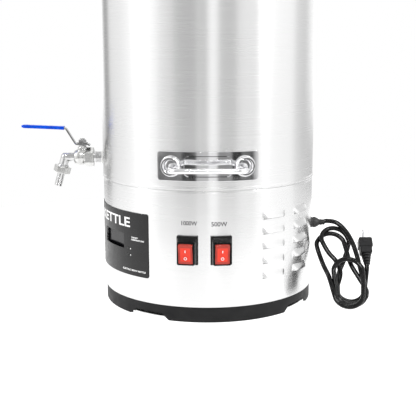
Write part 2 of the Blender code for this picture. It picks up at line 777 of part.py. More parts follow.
def valve():
    start, end = VALVE_START, VALVE_START + VALVE_L
    thread = start + THREAD_L
    web = thread + VALVE_WEB
    over = 0.002  # the core runs out past both ends
    outside = [(0, end), (VALVE_R - VALVE_NOSE, end), (VALVE_R, end - VALVE_SHOULDER)]
    outside += [(VALVE_R, start), (0, start)]
    core = [
        (0, end + over),
        (CAVITY_R, end + over),
        (CAVITY_R, web),
        (SEAT_BORE + 0.0005, web),
        (SEAT_BORE + 0.0005, thread),
        (NIPPLE_R + GAP, thread),
        (NIPPLE_R + GAP, start - over),
        (0, start - over),
    ]
    body = turned("valve_body", outside, steel(), 24, closed=False, parent=tap_frame)
    core = turned("valve_core", core, None, 24, closed=False, parent=tap_frame)

    def shoulders(bm):
        add_rod(bm, VALVE_HEX / sqrt(3), start, start + VALVE_HEX_L, 6, Matrix.Rotation(pi / 6, 4, "Z"))

    def tower(bm):
        up = Matrix.Translation((0, 0, STEM_AT)) @ Matrix.Rotation(pi / 2, 4, "Y")
        add_rod(bm, BONNET_R, CAVITY_R + 0.0006, BONNET_TOP, FINE, up)

    def pad(bm):
        front = Matrix.Translation((PAD_HEIGHT, 0, STEM_AT)) @ Matrix.Rotation(pi / 2, 4, "X")
        add_rod(bm, PAD_R, PACKING_NUT_FLATS / sqrt(3) + GAP, BONNET_R + 0.0022, 16, front)

    def stem_bore(bm):
        up = Matrix.Translation((0, 0, STEM_AT)) @ Matrix.Rotation(pi / 2, 4, "Y")
        add_rod(bm, STEM_R + GAP, 0.004, 0.02, FINE, up)

    def packing_bore(bm):
        up = Matrix.Translation((0, 0, STEM_AT)) @ Matrix.Rotation(pi / 2, 4, "Y")
        low = BONNET_TOP - PACKING_H - PACKING_CLEAR
        add_rod(bm, PACKING_R + PACKING_CLEAR, low, 0.02, FINE, up)

    for name, build, how in (
        ("valve_shoulders", shoulders, "UNION"),
        ("valve_tower", tower, "UNION"),
        ("valve_pad", pad, "UNION"),
        ("valve_stem_bore", stem_bore, "DIFFERENCE"),
        ("valve_packing_bore", packing_bore, "DIFFERENCE"),
    ):
        cut(body, add(name, mesh_from(name, build), parent=tap_frame), how)
    cut(body, core)
    reach = sqrt(BALL_R**2 - SEAT_BORE**2) + GAP
    seat_r = CAVITY_R - GAP
    low = web + GAP
    ring("valve_seat_inner", SEAT_BORE, seat_r, low, STEM_AT - reach, silicone(), parent=tap_frame)
    last = STEM_AT + reach + SEAT_T
    ring("valve_seat_outer", SEAT_BORE, seat_r, STEM_AT + reach, last, silicone(), parent=tap_frame)
    ring("valve_insert", SPOUT_R + GAP, seat_r, last + GAP, end, steel(), parent=tap_frame)
    return last + GAP


def lever():
    stem_frame = empty("lever_axis", (-BODY_R - STEM_AT, 0, TAP_Z))
    flow = (0, pi / 2, 0)
    ball = bpy.data.meshes.new("valve_ball")
    bm = bmesh.new()
    bmesh.ops.create_uvsphere(bm, u_segments=16, v_segments=9, radius=BALL_R)
    bm.to_mesh(ball)
    bm.free()
    ball = add("valve_ball", ball, polished(), parent=stem_frame)
    cut(ball, rod("ball_bore", BALL_BORE, -0.01, 0.01, turn=flow, parent=stem_frame))
    slot_floor = BALL_R - BALL_SLOT
    slot = block("ball_slot", (0.016, TANG_T + 2 * GAP, 0.01), (0, 0, slot_floor + 0.005), parent=stem_frame)
    cut(ball, slot)
    plate_low = BONNET_TOP + GAP + PACKING_NUT_H + GAP
    plate_high = plate_low + LEVER_T
    top = plate_high + GAP + LEVER_NUT_H + STEM_END
    stem = rod("valve_stem", STEM_R, BALL_R + GAP, top, steel(), parent=stem_frame)
    size = (STEM_R * 1.6, TANG_T, TANG_H)
    foot = block("stem_tang", size, (0, 0, slot_floor + GAP + TANG_H / 2), parent=stem_frame)
    cut(stem, foot, "UNION")
    bored = STEM_R + GAP
    fixed = empty("stem_fixed", (-BODY_R - STEM_AT, 0, TAP_Z))
    ring("stem_packing", bored, PACKING_R, BONNET_TOP - PACKING_H, BONNET_TOP, silicone(), parent=fixed)
    low = BONNET_TOP + GAP
    hexagon("packing_nut", PACKING_NUT_FLATS, bored, low, low + PACKING_NUT_H, steel(), fixed)

    def strip(bm):
        slope = radians(LEVER_SLOPE)
        grip = radians(GRIP_TILT)
        rise = LEVER_RISE / sin(slope)
        path = [Vector((LEVER_TAIL, 0, 0)), Vector((-LEVER_FRONT, 0, 0))]
        path.append(path[-1] + rise * Vector((-cos(slope), 0, sin(slope))))
        path.append(path[-1] + (GRIP_L - 0.001) * Vector((-cos(grip), 0, sin(grip))))
        row = [bm.verts.new(p + Vector((0, -LEVER_W / 2, plate_low))) for p in path]
        edges = [bm.edges.new(pair) for pair in zip(row, row[1:])]
        swept = bmesh.ops.extrude_edge_only(bm, edges=edges)["geom"]
        moved = [v for v in swept if isinstance(v, bmesh.types.BMVert)]
        bmesh.ops.translate(bm, vec=(0, LEVER_W, 0), verts=moved)

    arm = add("lever_arm", mesh_from("lever_arm", strip), polished(), parent=stem_frame)
    sheet = arm.modifiers.new("sheet", "SOLIDIFY")
    sheet.thickness = LEVER_T
    sheet.offset = 0
    sheet.use_even_offset = True
    arm.location.z = LEVER_T / 2
    cut(arm, rod("lever_hole", STEM_R + GAP, 0.012, 0.026, parent=stem_frame))
    slope = radians(LEVER_SLOPE)
    rise = plate_low + LEVER_T / 2 + LEVER_RISE
    bend = Vector((-LEVER_FRONT - LEVER_RISE / sin(slope) * cos(slope), 0, rise))
    hold = empty("grip_frame", bend, (0, radians(GRIP_TILT), 0), stem_frame)
    middle = (-GRIP_L / 2 - GRIP_START, 0, 0)

    def grip(bm):
        add_block(bm, (GRIP_L, GRIP_W, GRIP_T), middle)
        edges = [e for e in bm.edges if abs(e.verts[0].co.x - e.verts[1].co.x) > 0.001]
        bmesh.ops.bevel(bm, geom=edges, offset=0.0016, segments=2, affect="EDGES", profile=0.5, material=-1)

    sleeve = add("lever_sleeve", mesh_from("lever_sleeve", grip), blue(), parent=hold)
    size = (GRIP_L, LEVER_W + 2 * GAP, LEVER_T + 2 * GAP)
    cut(sleeve, block("grip_pocket", size, (middle[0] + GRIP_START, 0, 0), parent=hold))
    low = plate_high + GAP
    hexagon("lever_nut", LEVER_NUT_FLATS, bored, low, low + LEVER_NUT_H, steel(), stem_frame)


def blue():
    return material("blue_vinyl", (0.0, 0.09, 0.8), 0.35)


def spout(start):
    corner = Vector((-BODY_R - SPOUT_CORNER, 0, TAP_Z))
    tilt = radians(SPOUT_TILT)
    down = Vector((-sin(tilt), 0, -cos(tilt)))
    turn_by = pi / 2 - tilt
    inset = SPOUT_BEND * (1 / cos(turn_by / 2) * sin(turn_by / 2))
    first = corner + Vector((inset, 0, 0))
    centre = first + Vector((0, 0, -SPOUT_BEND))
    bend = []
    for i in range(5):
        a = turn_by * i / 4
        bend.append(centre + SPOUT_BEND * Vector((-sin(a), 0, cos(a))))
    begin = Vector((-BODY_R - start - GAP, 0, TAP_Z))
    finish = corner + down * (UNION_AT + UNION_H * UNION_SEAT)
    pipe = to_mesh(tube("spout_elbow", [begin, *bend, finish], SPOUT_R, steel(), 3))
    ends = [begin + Vector((0.002, 0, 0)), *bend, finish + down * 0.002]
    hole = tube("spout_bore", ends, SPOUT_BORE, None, 3)
    cut(pipe, to_mesh(hole))
    leg = empty("spout_leg", corner, (0, pi + tilt, 0))
    hexagon("union_nut", UNION_FLATS, SPOUT_R + GAP, UNION_AT, UNION_AT + UNION_H, steel(), leg)
    low = UNION_AT + UNION_H * UNION_SEAT + GAP
    seal = low + UNION_SEAL_T
    ring("union_seal", SPOUT_BORE, SPOUT_R, low, seal, silicone(), parent=leg)
    below = UNION_AT + UNION_H
    end = below + TAIL_L
    barb = TAIL_R - BARB_DEPTH
    tail = [(TAIL_BORE, seal + GAP), (TAIL_BORE, end), (barb, end)]
    for i in range(3):
        foot = end - BARB_PITCH * i - 0.0015
        tail += [(TAIL_R, foot - 0.0025), (barb, foot - 0.0028)]
    tail += [(barb, below), (SPOUT_R, below), (SPOUT_R, seal + GAP)]
    turned("hose_tail", tail, steel(), 16, parent=leg)


# ---- switches ----
def rocker_switch(name, angle):
    mouth = BODY_R + SWITCH_REACH
    back = BODY_R - SWITCH_DEPTH
    flange = BODY_R + GAP
    frame = empty(f"switch_{name}", (0, 0, SWITCH_Z), wall_turn(angle))

    def shell(bm):
        add_block(bm, (SWITCH_W, SWITCH_FLANGE, SWITCH_H), (0, -flange - SWITCH_FLANGE / 2, 0))

    def cone(bm):
        corners = add_block(bm, (1, 1, 1), (0, 0, 0))
        for corner in corners:
            front = corner.co.y < 0
            wide = SWITCH_MOUTH_W if front else SWITCH_W - 2 * SWITCH_STEP
            tall = SWITCH_MOUTH_H if front else SWITCH_H - 2 * SWITCH_STEP
            corner.co.x *= wide
            corner.co.z = corner.co.z * tall - (SWITCH_MOUTH_DROP if front else 0)
            corner.co.y = -mouth if front else -flange - SWITCH_FLANGE * 0.5

    def trunk(bm):
        size = (SWITCH_MOUTH_W, flange + 0.0005 - back, SWITCH_MOUTH_H)
        add_block(bm, size, (0, -(flange + 0.0005 + back) / 2, 0))

    def tabs(bm):
        for x in (-TAB_X, TAB_X):
            for z in (-TAB_Z, TAB_Z):
                add_block(bm, TAB, (x, -back + 0.0055, z))

    def well(bm):
        half = ROCKER_R + ROCKER_CLEAR
        deep = mouth - ROCKER_PIVOT - half - 0.001
        size = (ROCKER_W + 2 * ROCKER_CLEAR, mouth + 0.01 - deep, 2 * half)
        add_block(bm, size, (0, -(mouth + 0.01 + deep) / 2, -SWITCH_MOUTH_DROP))

    housing = add(f"switch_housing_{name}", mesh_from("flange", shell), black(), parent=frame)
    for part, build, how in (
        ("cone", cone, "UNION"),
        ("trunk", trunk, "UNION"),
        ("tabs", tabs, "UNION"),
        ("well", well, "DIFFERENCE"),
    ):
        cut(housing, add(f"switch_{part}_{name}", mesh_from(part, build), parent=frame), how)
    pivot = mouth - ROCKER_PIVOT
    front = ROCKER_PIVOT + ROCKER_PROUD
    wide = sqrt(ROCKER_R**2 - front**2)
    edge = atan2(front, wide) * 180 / pi
    side = arc((0, 0), ROCKER_R, edge, -ROCKER_SKIRT, 5)
    side += arc((0, 0), ROCKER_R, 180 + ROCKER_SKIRT, 180 - edge, 5)
    # At rest the switch is off: its lower half is pressed in.
    place_of = (0, -pivot, -SWITCH_MOUTH_DROP)
    axis = empty(f"rocker_axis_{name}", place_of, (radians(ROCKER_THROW), 0, 0), frame)
    key = prism(f"rocker_{name}", [(z, n) for z, n in side], ROCKER_W, red())
    for vert in key.data.vertices:
        z, across, n = vert.co
        vert.co = (across, -n, z)
    key.data.update()
    fix_normals(key)
    place(key, parent=axis)


def fix_normals(obj):
    bm = bmesh.new()
    bm.from_mesh(obj.data)
    bmesh.ops.recalc_face_normals(bm, faces=bm.faces)
    bm.to_mesh(obj.data)
    bm.free()


def red():
    return material("red_rocker", (0.85, 0.05, 0.03), 0.3)


# ---- control panel ----
def control_panel():
    inner = SKIRT_R + GAP
    outer = inner + PANEL_T
    name = "control_panel"
    size = (PANEL_W, PANEL_H, PANEL_CORNER)
    plate = wrapped_plate(name, PANEL_ANGLE, *size, PANEL_Z, inner, outer, charcoal())
    cut(plate, add("panel_openings", mesh_from("panel_openings", panel_openings)))
    turn = wall_turn(PANEL_ANGLE)
    half = WINDOW_W / 2 + LENS_EDGE
    glass = sqrt(SKIRT_IN**2 - half**2) - 2 * GAP
    size = (2 * half, LENS_T, WINDOW_H + 2 * LENS_EDGE)
    block("display_window", size, (0, -glass + LENS_T / 2, WINDOW_Z), black(), turn=turn)
    board = SKIRT_R - BOARD_DEPTH
    size = (BOARD_W, BOARD_T, BOARD_H)
    block("control_board", size, (0, -board + BOARD_T / 2, PANEL_Z), green(), turn=turn)
    near, far = board + GAP, glass - LENS_T - GAP
    size = (WINDOW_W - 0.008, far - near, WINDOW_H - 0.003)
    block("display_module", size, (0, -(near + far) / 2, WINDOW_Z), black(), turn=turn)
    behind = board - BOARD_T - GAP
    along, above = RELAY_AT
    block("heater_relay", RELAY, (along, -behind + RELAY[1] / 2, PANEL_Z + above), blue(), turn=turn)
    for (angle, z), name in zip(key_places(), ("up", "down")):
        frame = empty(f"key_frame_{name}", on_wall(angle, outer, z), (pi / 2, 0, radians(angle)))
        key = rod(f"key_{name}", KEY_R, -KEY_STALK, KEY_PROUD, silicone(), 12, parent=frame)
        high = -KEY_COLLAR_AT - KEY_TRAVEL
        collar = rod(f"key_collar_{name}", KEY_COLLAR_R, -KEY_STALK, high, None, 12, parent=frame)
        cut(key, collar, "UNION")


def green():
    return material("circuit_board", (0.02, 0.16, 0.05), 0.5)


# ---- heaters and wiring inside the skirt ----
def heaters():
    top = VESSEL_BOTTOM - GAP
    low = top - PLATE_HEAT_T
    profile = [(0, top), (PLATE_HEAT_R, top), (PLATE_HEAT_R, low), (0, low)]
    plate = turned("heat_plate", profile, aluminium(), 48, closed=False)
    level = low - GAP - ELEMENT_R
    for name, radius in ELEMENTS.items():
        leg = LOOP_MOUTH / radius * 180 / pi
        turns = [radians(a) for a in steps(-90 + leg, 270 - leg, 20)]
        loop = [(radius * cos(a), radius * sin(a)) for a in turns]
        points = [(x, y, level) for x, y in loop]
        first, last = [(*loop[i], level - ELEMENT_LEG) for i in (0, -1)]
        points = [first, *points, last]
        tube(f"heating_element_{name}", points, ELEMENT_R, steel())
    clamp = level - ELEMENT_R - GAP
    reach = max(ELEMENTS.values()) + CLAMP_END
    bar = block("element_clamp", (2 * reach, CLAMP_W, CLAMP_T), (0, 0, clamp - CLAMP_T / 2), steel())
    cut(bar, rod("clamp_hole", STUD_R + GAP, clamp - 0.01, clamp + 0.01))
    cut(plate, rod("clamp_stud", STUD_R, clamp - CLAMP_T - STUD_END, low + 0.001, sides=16), "UNION")
    nut_top = clamp - CLAMP_T - GAP
    hexagon("clamp_nut", CLAMP_NUT_FLATS, STUD_R + GAP, nut_top - CLAMP_NUT_H, nut_top, steel())
    rod("thermal_cutout", CUTOUT_R, low - GAP - CUTOUT_H, low - GAP, black(), where=CUTOUT_AT)
    rod("temperature_probe", PROBE_R, low - GAP - PROBE_L, low - GAP, steel(), 12, where=PROBE_AT)


def steps(start, end, count):
    return [start + (end - start) * i / count for i in range(count + 1)]


def wiring():
    profile = [
        (CORD_R + GAP, -GLAND_IN),
        (CORD_R + GAP, GLAND_OUT),
        (GLAND_R - GLAND_NOSE[0], GLAND_OUT),
        (GLAND_R, GLAND_OUT - GLAND_NOSE[1]),
        (GLAND_R, GAP),
        (GLAND_R - GLAND_STEP, GAP),
        (GLAND_R - GLAND_STEP, -GLAND_IN),
    ]
    turned("cord_gland", profile, black(), 16, where=(SKIRT_R, 0, GLAND_Z), turn=(0, pi / 2, 0))
    top = COVER_T + GAP + TERMINAL[2]
    block("terminal_block", TERMINAL, (TERMINAL_X, 0.0, top - TERMINAL[2] / 2), black())
    start = Vector((SKIRT_R - GAP, 0, GLAND_Z))
    end = Vector((TERMINAL_X, 0, top + GAP))
    route = [
        start,
        start + Vector((-GLAND_IN * 0.5, 0, 0)),
        start + Vector((-GLAND_IN - 0.001, 0, 0)),
        start + Vector((-GLAND_IN - 0.006, 0, 0)),
        start + Vector((-GLAND_IN - 0.017, 0, -0.007)),
        Vector((TERMINAL_X + 0.003, 0, GLAND_Z - 0.026)),
        end + Vector((0, 0, 0.030)),
        end,
    ]
    tube("inner_lead", smooth(route, 3), CORD_R, rubber())


def smooth(route, pieces):
    """Points on a smooth curve through the route, with pieces of equal share between its points."""
    ends = [route[0] * 2 - route[1], *route, route[-1] * 2 - route[-2]]
    points = []
    for a, b, c, d in zip(ends, ends[1:], ends[2:], ends[3:]):
        for i in range(pieces):
            t = i / pieces
            bend = (2 * a - 5 * b + 4 * c - d) * t**2 + (3 * b - a - 3 * c + d) * t**3
            points.append(0.5 * (2 * b + (c - a) * t + bend))
    return [*points, route[-1]]


# ---- mains lead ----
def in_hank(across, up, forward=0.0):
    """A point of the hank's plane: across is world X, up is the way up its lean."""
    lean = radians(HANK_LEAN)
    along = Vector((0, cos(lean), sin(lean)))
    normal = Vector((0, -sin(lean), cos(lean)))
    return HANK_FOOT + Vector((across, 0, 0)) + up * along + forward * normal


def mains_lead():
    lean = radians(HANK_LEAN)
    width, length = HANK_RIGHT - HANK_LEFT, HANK_HIGH - HANK_LOW
    middle = in_hank((HANK_LEFT + HANK_RIGHT) / 2, (HANK_HIGH + HANK_LOW) / 2)
    tilt = (lean - pi / 2, 0, 0)
    outline = rounded(width, length, width / 2 - 0.0001, 6)
    prism("cord_hank", outline, HANK_THICK, rubber(), where=middle, turn=tilt)
    exit_point = Vector((SKIRT_R + GLAND_OUT + GAP, 0, GLAND_Z))
    head = in_hank((HANK_LEFT + HANK_RIGHT) / 2, HANK_HIGH + GAP)
    along = (in_hank(0, 1) - in_hank(0, 0)).normalized()
    route = [
        exit_point,
        exit_point + Vector((0.003, 0, 0)),
        exit_point + Vector((0.010, 0, 0.0008)),
        exit_point + Vector((0.018, -0.0008, -0.0002)),
        head + 0.005 * along + Vector((-0.0006, 0, 0.001)),
        head + 0.002 * along,
        head,
    ]
    tube("cord_lead", smooth(route, 3), CORD_R, rubber(), 2)
    across, up = PLUG_AT
    base = empty("plug_frame", in_hank(across, up), tilt)

    upper = mesh_from("plug_body", lambda bm: plug_half(bm, 0.0, PLUG_L / 2, 1.0))
    lower = mesh_from("plug_neck", lambda bm: plug_half(bm, -PLUG_L / 2, 0.0005, PLUG_NARROW))
    plug = add("plug_body", upper, black(), parent=base)
    cut(plug, add("plug_neck", lower, parent=base), "UNION")
    root = PLUG_L / 2 - 0.002

    def pins(bm):
        for x in (-PIN_PITCH / 2, PIN_PITCH / 2):
            add_block(bm, (BLADE_T, BLADE_W, BLADE_L + 0.002), (x, BLADE_Y, root + BLADE_L / 2 + 0.001))
        tip = root + BLADE_L + EARTH_LONGER
        add_rod(bm, EARTH_R, root, tip, 12, Matrix.Translation((0, EARTH_Y, 0)))

    cut(plug, add("plug_pins", mesh_from("plug_pins", pins), parent=base), "UNION")
    out = Vector((1, 0, 0))
    start = in_hank(HANK_RIGHT + GAP, 0.040)
    foot = in_hank(across, up - PLUG_L / 2 - GAP)
    route = [
        start,
        start + 0.002 * out,
        start + 0.004 * out,
        in_hank(across - 0.0015, 0.0475),
        foot - 0.008 * along,
        foot - 0.004 * along,
        foot,
    ]
    tube("cord_tail", smooth(route, 3), CORD_R, rubber(), 2)


def plug_half(bm, low, high, narrow):
    for corner in add_block(bm, (1, 1, 1), (0, 0, 0)):
        below = corner.co.z < 0
        share = narrow if below else 1
        corner.co = (corner.co.x * PLUG_W * share, corner.co.y * PLUG_T * share, low if below else high)


tap_frame = empty("tap_frame", (-BODY_R, 0, TAP_Z), (0, -pi / 2, 0))
vessel()
lid()
skirt()
base_ring()
bottom_cover()
bar_handle("front", 0)
bar_handle("rear", 180)
tap_fittings()
spout(valve())
lever()
for switch, wall_angle in SWITCH_ANGLES.items():
    rocker_switch(switch, wall_angle)
control_panel()
heaters()
wiring()
mains_lead()
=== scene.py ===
import math

import bmesh
import bpy
from mathutils import Matrix, Vector


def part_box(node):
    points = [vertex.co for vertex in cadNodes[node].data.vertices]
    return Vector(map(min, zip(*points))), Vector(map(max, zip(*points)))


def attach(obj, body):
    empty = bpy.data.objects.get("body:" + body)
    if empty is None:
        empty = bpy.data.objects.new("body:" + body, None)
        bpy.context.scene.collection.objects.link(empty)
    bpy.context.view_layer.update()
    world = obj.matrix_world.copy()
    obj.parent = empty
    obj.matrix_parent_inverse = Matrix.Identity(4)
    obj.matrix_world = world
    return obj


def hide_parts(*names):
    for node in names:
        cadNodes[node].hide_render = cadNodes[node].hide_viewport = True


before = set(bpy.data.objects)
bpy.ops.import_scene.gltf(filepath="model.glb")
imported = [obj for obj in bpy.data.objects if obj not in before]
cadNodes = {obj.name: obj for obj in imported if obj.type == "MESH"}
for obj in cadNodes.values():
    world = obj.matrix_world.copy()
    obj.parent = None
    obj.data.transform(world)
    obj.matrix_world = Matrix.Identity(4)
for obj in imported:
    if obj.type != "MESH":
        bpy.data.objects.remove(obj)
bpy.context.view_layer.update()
scene = bpy.context.scene
print("frame loaded:", len(cadNodes), "nodes")

# places taken from the frame
wallRadius = 0.152
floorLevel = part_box("base_ring")[0].z
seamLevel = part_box("base_skirt")[1].z
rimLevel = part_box("vessel")[1].z
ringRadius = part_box("base_ring")[1].x
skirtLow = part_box("base_skirt")[0].z
skirtRadius = wallRadius - 0.0005


# ---- small tools ----
def wallTurn(angle):
    return Matrix.Rotation(math.radians(angle), 4, "Z")


def onWall(angle, radius, height):
    turn = math.radians(angle)
    return Vector((radius * math.sin(turn), -radius * math.cos(turn), height))


def facingOut(angle, radius, height):
    # a frame on the wall whose Z points outwards and whose Y points up
    upright = Matrix.Rotation(math.pi / 2, 4, "X")
    return Matrix.Translation(onWall(angle, radius, height)) @ wallTurn(angle) @ upright


def softCorners(points, closed=True, steps=5):
    # each point is (x, z, how far the rounding reaches along both sides)
    soft = []
    for i, (x, z, reach) in enumerate(points):
        here = Vector((x, z))
        if reach == 0 or (not closed and i in (0, len(points) - 1)):
            soft.append(here)
            continue
        start = here + (Vector(points[i - 1][:2]) - here).normalized() * reach
        end = here + (Vector(points[(i + 1) % len(points)][:2]) - here).normalized() * reach
        for step in range(steps + 1):
            t = step / steps
            soft.append((1 - t) ** 2 * start + 2 * t * (1 - t) * here + t * t * end)
    return soft


def newSince(bm, old):
    return [vert for vert in bm.verts if vert not in old]


def facesOf(verts):
    return list({face for vert in verts for face in vert.link_faces})


def moveNew(bm, old, place, index):
    # merges, faces outwards and places what was added since old
    verts = newSince(bm, old)
    bmesh.ops.remove_doubles(bm, verts=verts, dist=0.0000015)
    verts = newSince(bm, old)
    faces = facesOf(verts)
    bmesh.ops.recalc_face_normals(bm, faces=faces)
    for face in faces:
        face.material_index = index
    if place is not None:
        bmesh.ops.transform(bm, matrix=place, verts=verts)
    return verts


def turned(bm, points, place=None, steps=64, closed=False, index=0):
    # a profile of (radius, height, rounding) spun about Z
    old = set(bm.verts)
    outline = softCorners(points, closed)
    row = [bm.verts.new((p.x, 0, p.y)) for p in outline]
    pairs = list(zip(row, row[1:])) + ([(row[-1], row[0])] if closed else [])
    edges = [bm.edges.new(pair) for pair in pairs]
    bmesh.ops.spin(
        bm, geom=row + edges, cent=(0, 0, 0), axis=(0, 0, 1), dvec=(0, 0, 0),
        angle=2 * math.pi, steps=steps, use_merge=True, use_duplicate=False,
    )
    return moveNew(bm, old, place, index)


def roundedBlock(bm, size, centre=(0, 0, 0), edge=0.0005, segments=3, place=None, index=0, taper=None):
    # taper gives the scale in X and Y of the end at +Z
    old = set(bm.verts)
    verts = bmesh.ops.create_cube(bm, size=1)["verts"]
    for vert in verts:
        if taper and vert.co.z > 0:
            vert.co.x *= taper[0]
            vert.co.y *= taper[1]
    bmesh.ops.scale(bm, vec=size, verts=verts)
    bmesh.ops.translate(bm, vec=centre, verts=verts)
    if edge:
        edges = list({e for v in verts for e in v.link_edges})
        bmesh.ops.bevel(
            bm, geom=edges, offset=edge, segments=segments, profile=0.5, affect="EDGES", material=-1
        )
    return moveNew(bm, old, place, index)


def hexNut(bm, flats, low, high, place=None, index=0, chamfer=0.0007, spin=0.0):
    # a hexagon whose corners are turned off at both ends
    old = set(bm.verts)
    verts = bmesh.ops.create_cone(
        bm, cap_ends=True, segments=6, radius1=flats / math.sqrt(3),
        radius2=flats / math.sqrt(3), depth=high - low
    )["verts"]
    bmesh.ops.rotate(bm, matrix=Matrix.Rotation(spin, 3, "Z"), verts=verts)
    bmesh.ops.translate(bm, vec=(0, 0, (low + high) / 2), verts=verts)
    rims = [
        e for e in {e for v in verts for e in v.link_edges} if abs(e.verts[0].co.z - e.verts[1].co.z) < 1e-6
    ]
    bmesh.ops.bevel(bm, geom=rims, offset=chamfer, segments=3, profile=0.5, affect="EDGES", material=-1)
    uprights = [
        e for e in {e for v in newSince(bm, old) for e in v.link_edges}
        if abs(e.verts[0].co.z - e.verts[1].co.z) > (high - low) * 0.5
    ]
    bmesh.ops.bevel(
        bm, geom=uprights, offset=chamfer * 0.5, segments=2, profile=0.5, affect="EDGES", material=-1
    )
    return moveNew(bm, old, place, index)


def smoothRoute(route, pieces):
    # points on one smooth curve through the route
    ends = [route[0] * 2 - route[1], *route, route[-1] * 2 - route[-2]]
    points = []
    for a, b, c, d in zip(ends, ends[1:], ends[2:], ends[3:]):
        for i in range(pieces):
            t = i / pieces
            points.append(
                0.5 * (
                    2 * b + (c - a) * t + (2 * a - 5 * b + 4 * c - d) * t**2 + (3 * b - a - 3 * c + d) * t**3
                )
            )
    return [*points, route[-1]]


def tubeCurve(name, points, radius, resolution=5):
    curve = bpy.data.curves.new(name, "CURVE")
    curve.dimensions = "3D"
    curve.bevel_depth = radius
    curve.bevel_resolution = resolution
    curve.use_fill_caps = True
    spline = curve.splines.new("POLY")
    spline.points.add(len(points) - 1)
    for point, place in zip(spline.points, points):
        point.co = (*place, 1)
    spline.use_smooth = True
    piece = bpy.data.objects.new(name, curve)
    scene.collection.objects.link(piece)
    return piece


def evaluatedMesh(piece):
    bpy.context.view_layer.update()
    graph = bpy.context.evaluated_depsgraph_get()
    return bpy.data.meshes.new_from_object(piece.evaluated_get(graph))


def addTube(bm, points, radius, resolution=5):
    # a round bar along the points, as part of a mesh
    guide = tubeCurve("guide", points, radius, resolution)
    mesh = evaluatedMesh(guide)
    old = set(bm.verts)
    bm.from_mesh(mesh)
    bpy.data.objects.remove(guide, do_unlink=True)
    bpy.data.meshes.remove(mesh)
    return moveNew(bm, old, None, 0)


def settle(piece, body, replaced):
    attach(piece, body)
    if replaced:
        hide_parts(*replaced)
    return piece


def piece(name, bm, materials, body="kettle", slot=None, replaced=(), sharp=38):
    mesh = bpy.data.meshes.new(name)
    bm.to_mesh(mesh)
    bm.free()
    mesh.shade_smooth()
    mesh.set_sharp_from_angle(angle=math.radians(sharp))
    made = bpy.data.objects.new(name, mesh)
    scene.collection.objects.link(made)
    for material in materials if isinstance(materials, (list, tuple)) else [materials]:
        mesh.materials.append(material)
    keepFlat(made)
    return settle(made, body, replaced)


def keepFlat(made):
    # flat faces stay flat beside their rounded edges
    weighted = made.modifiers.new("keepFlat", "WEIGHTED_NORMAL")
    weighted.keep_sharp = True


def applied(made, sharp=38):
    # the object with its modifiers made part of its mesh
    if "keepFlat" in made.modifiers:
        made.modifiers.remove(made.modifiers["keepFlat"])
    mesh = evaluatedMesh(made)
    old = made.data
    made.modifiers.clear()
    made.data = mesh
    bpy.data.meshes.remove(old)
    mesh.shade_smooth()
    mesh.set_sharp_from_angle(angle=math.radians(sharp))
    keepFlat(made)
    return made


def carve(made, cutterBm, sharp=38):
    mesh = bpy.data.meshes.new("cutter")
    cutterBm.to_mesh(mesh)
    cutterBm.free()
    cutter = bpy.data.objects.new("cutter", mesh)
    scene.collection.objects.link(cutter)
    boolean = made.modifiers.new("carve", "BOOLEAN")
    boolean.operation = "DIFFERENCE"
    boolean.solver = "MANIFOLD"
    boolean.object = cutter
    applied(made, sharp)
    bpy.data.objects.remove(cutter, do_unlink=True)
    bpy.data.meshes.remove(mesh)
    return made


def outlineFace(bm, width, height, corner, steps=8):
    # a flat face with round corners in XY, facing +Z
    verts = []
    for quarter, (sx, sy) in enumerate(((1, 1), (-1, 1), (-1, -1), (1, -1))):
        for step in range(steps + 1):
            turn = math.radians(90 * (quarter + step / steps))
            x = sx * (width / 2 - corner) + corner * math.cos(turn)
            y = sy * (height / 2 - corner) + corner * math.sin(turn)
            verts.append(bm.verts.new((x, y, 0)))
    return bm.faces.new(verts)


def bendOnWall(bm, verts, angle, radius, height, every=0.0025):
    # carries a flat shape, X along the wall, Y up and Z outwards, round the wall
    reach = max(abs(v.co.x) for v in verts)
    count = int(reach / every)
    faces = facesOf(verts)
    geom = list({*verts, *faces, *(e for v in verts for e in v.link_edges)})
    for i in range(-count, count + 1):
        cutResult = bmesh.ops.bisect_plane(
            bm, geom=geom, dist=0.0000005, plane_co=(i * every, 0, 0), plane_no=(1, 0, 0)
        )
        geom = list({*geom, *cutResult["geom"]})
    points = {item for item in geom if isinstance(item, bmesh.types.BMVert) and item.is_valid}
    for vert in points:
        x, y, z = vert.co
        vert.co = onWall(angle + math.degrees(x / radius), radius + z, height + y)
    return points


def plate(bm, width, height, corner, thick, angle, level, radius, edge=0.0004, index=0):
    # a sheet that follows the wall, its outer edge rounded
    old = set(bm.verts)
    face = outlineFace(bm, width, height, corner)
    swept = bmesh.ops.extrude_face_region(bm, geom=[face])["geom"]
    top = [item for item in swept if isinstance(item, bmesh.types.BMVert)]
    bmesh.ops.translate(bm, vec=(0, 0, thick), verts=top)
    rim = [e for e in bm.edges if e.verts[0] in top and e.verts[1] in top and not e.is_boundary]
    if edge:
        bmesh.ops.bevel(bm, geom=rim, offset=edge, segments=3, profile=0.5, affect="EDGES", material=-1)
    verts = newSince(bm, old)
    bmesh.ops.recalc_face_normals(bm, faces=facesOf(verts))
    bendOnWall(bm, verts, angle, radius, level)
    for made in facesOf(newSince(bm, old)):
        made.material_index = index


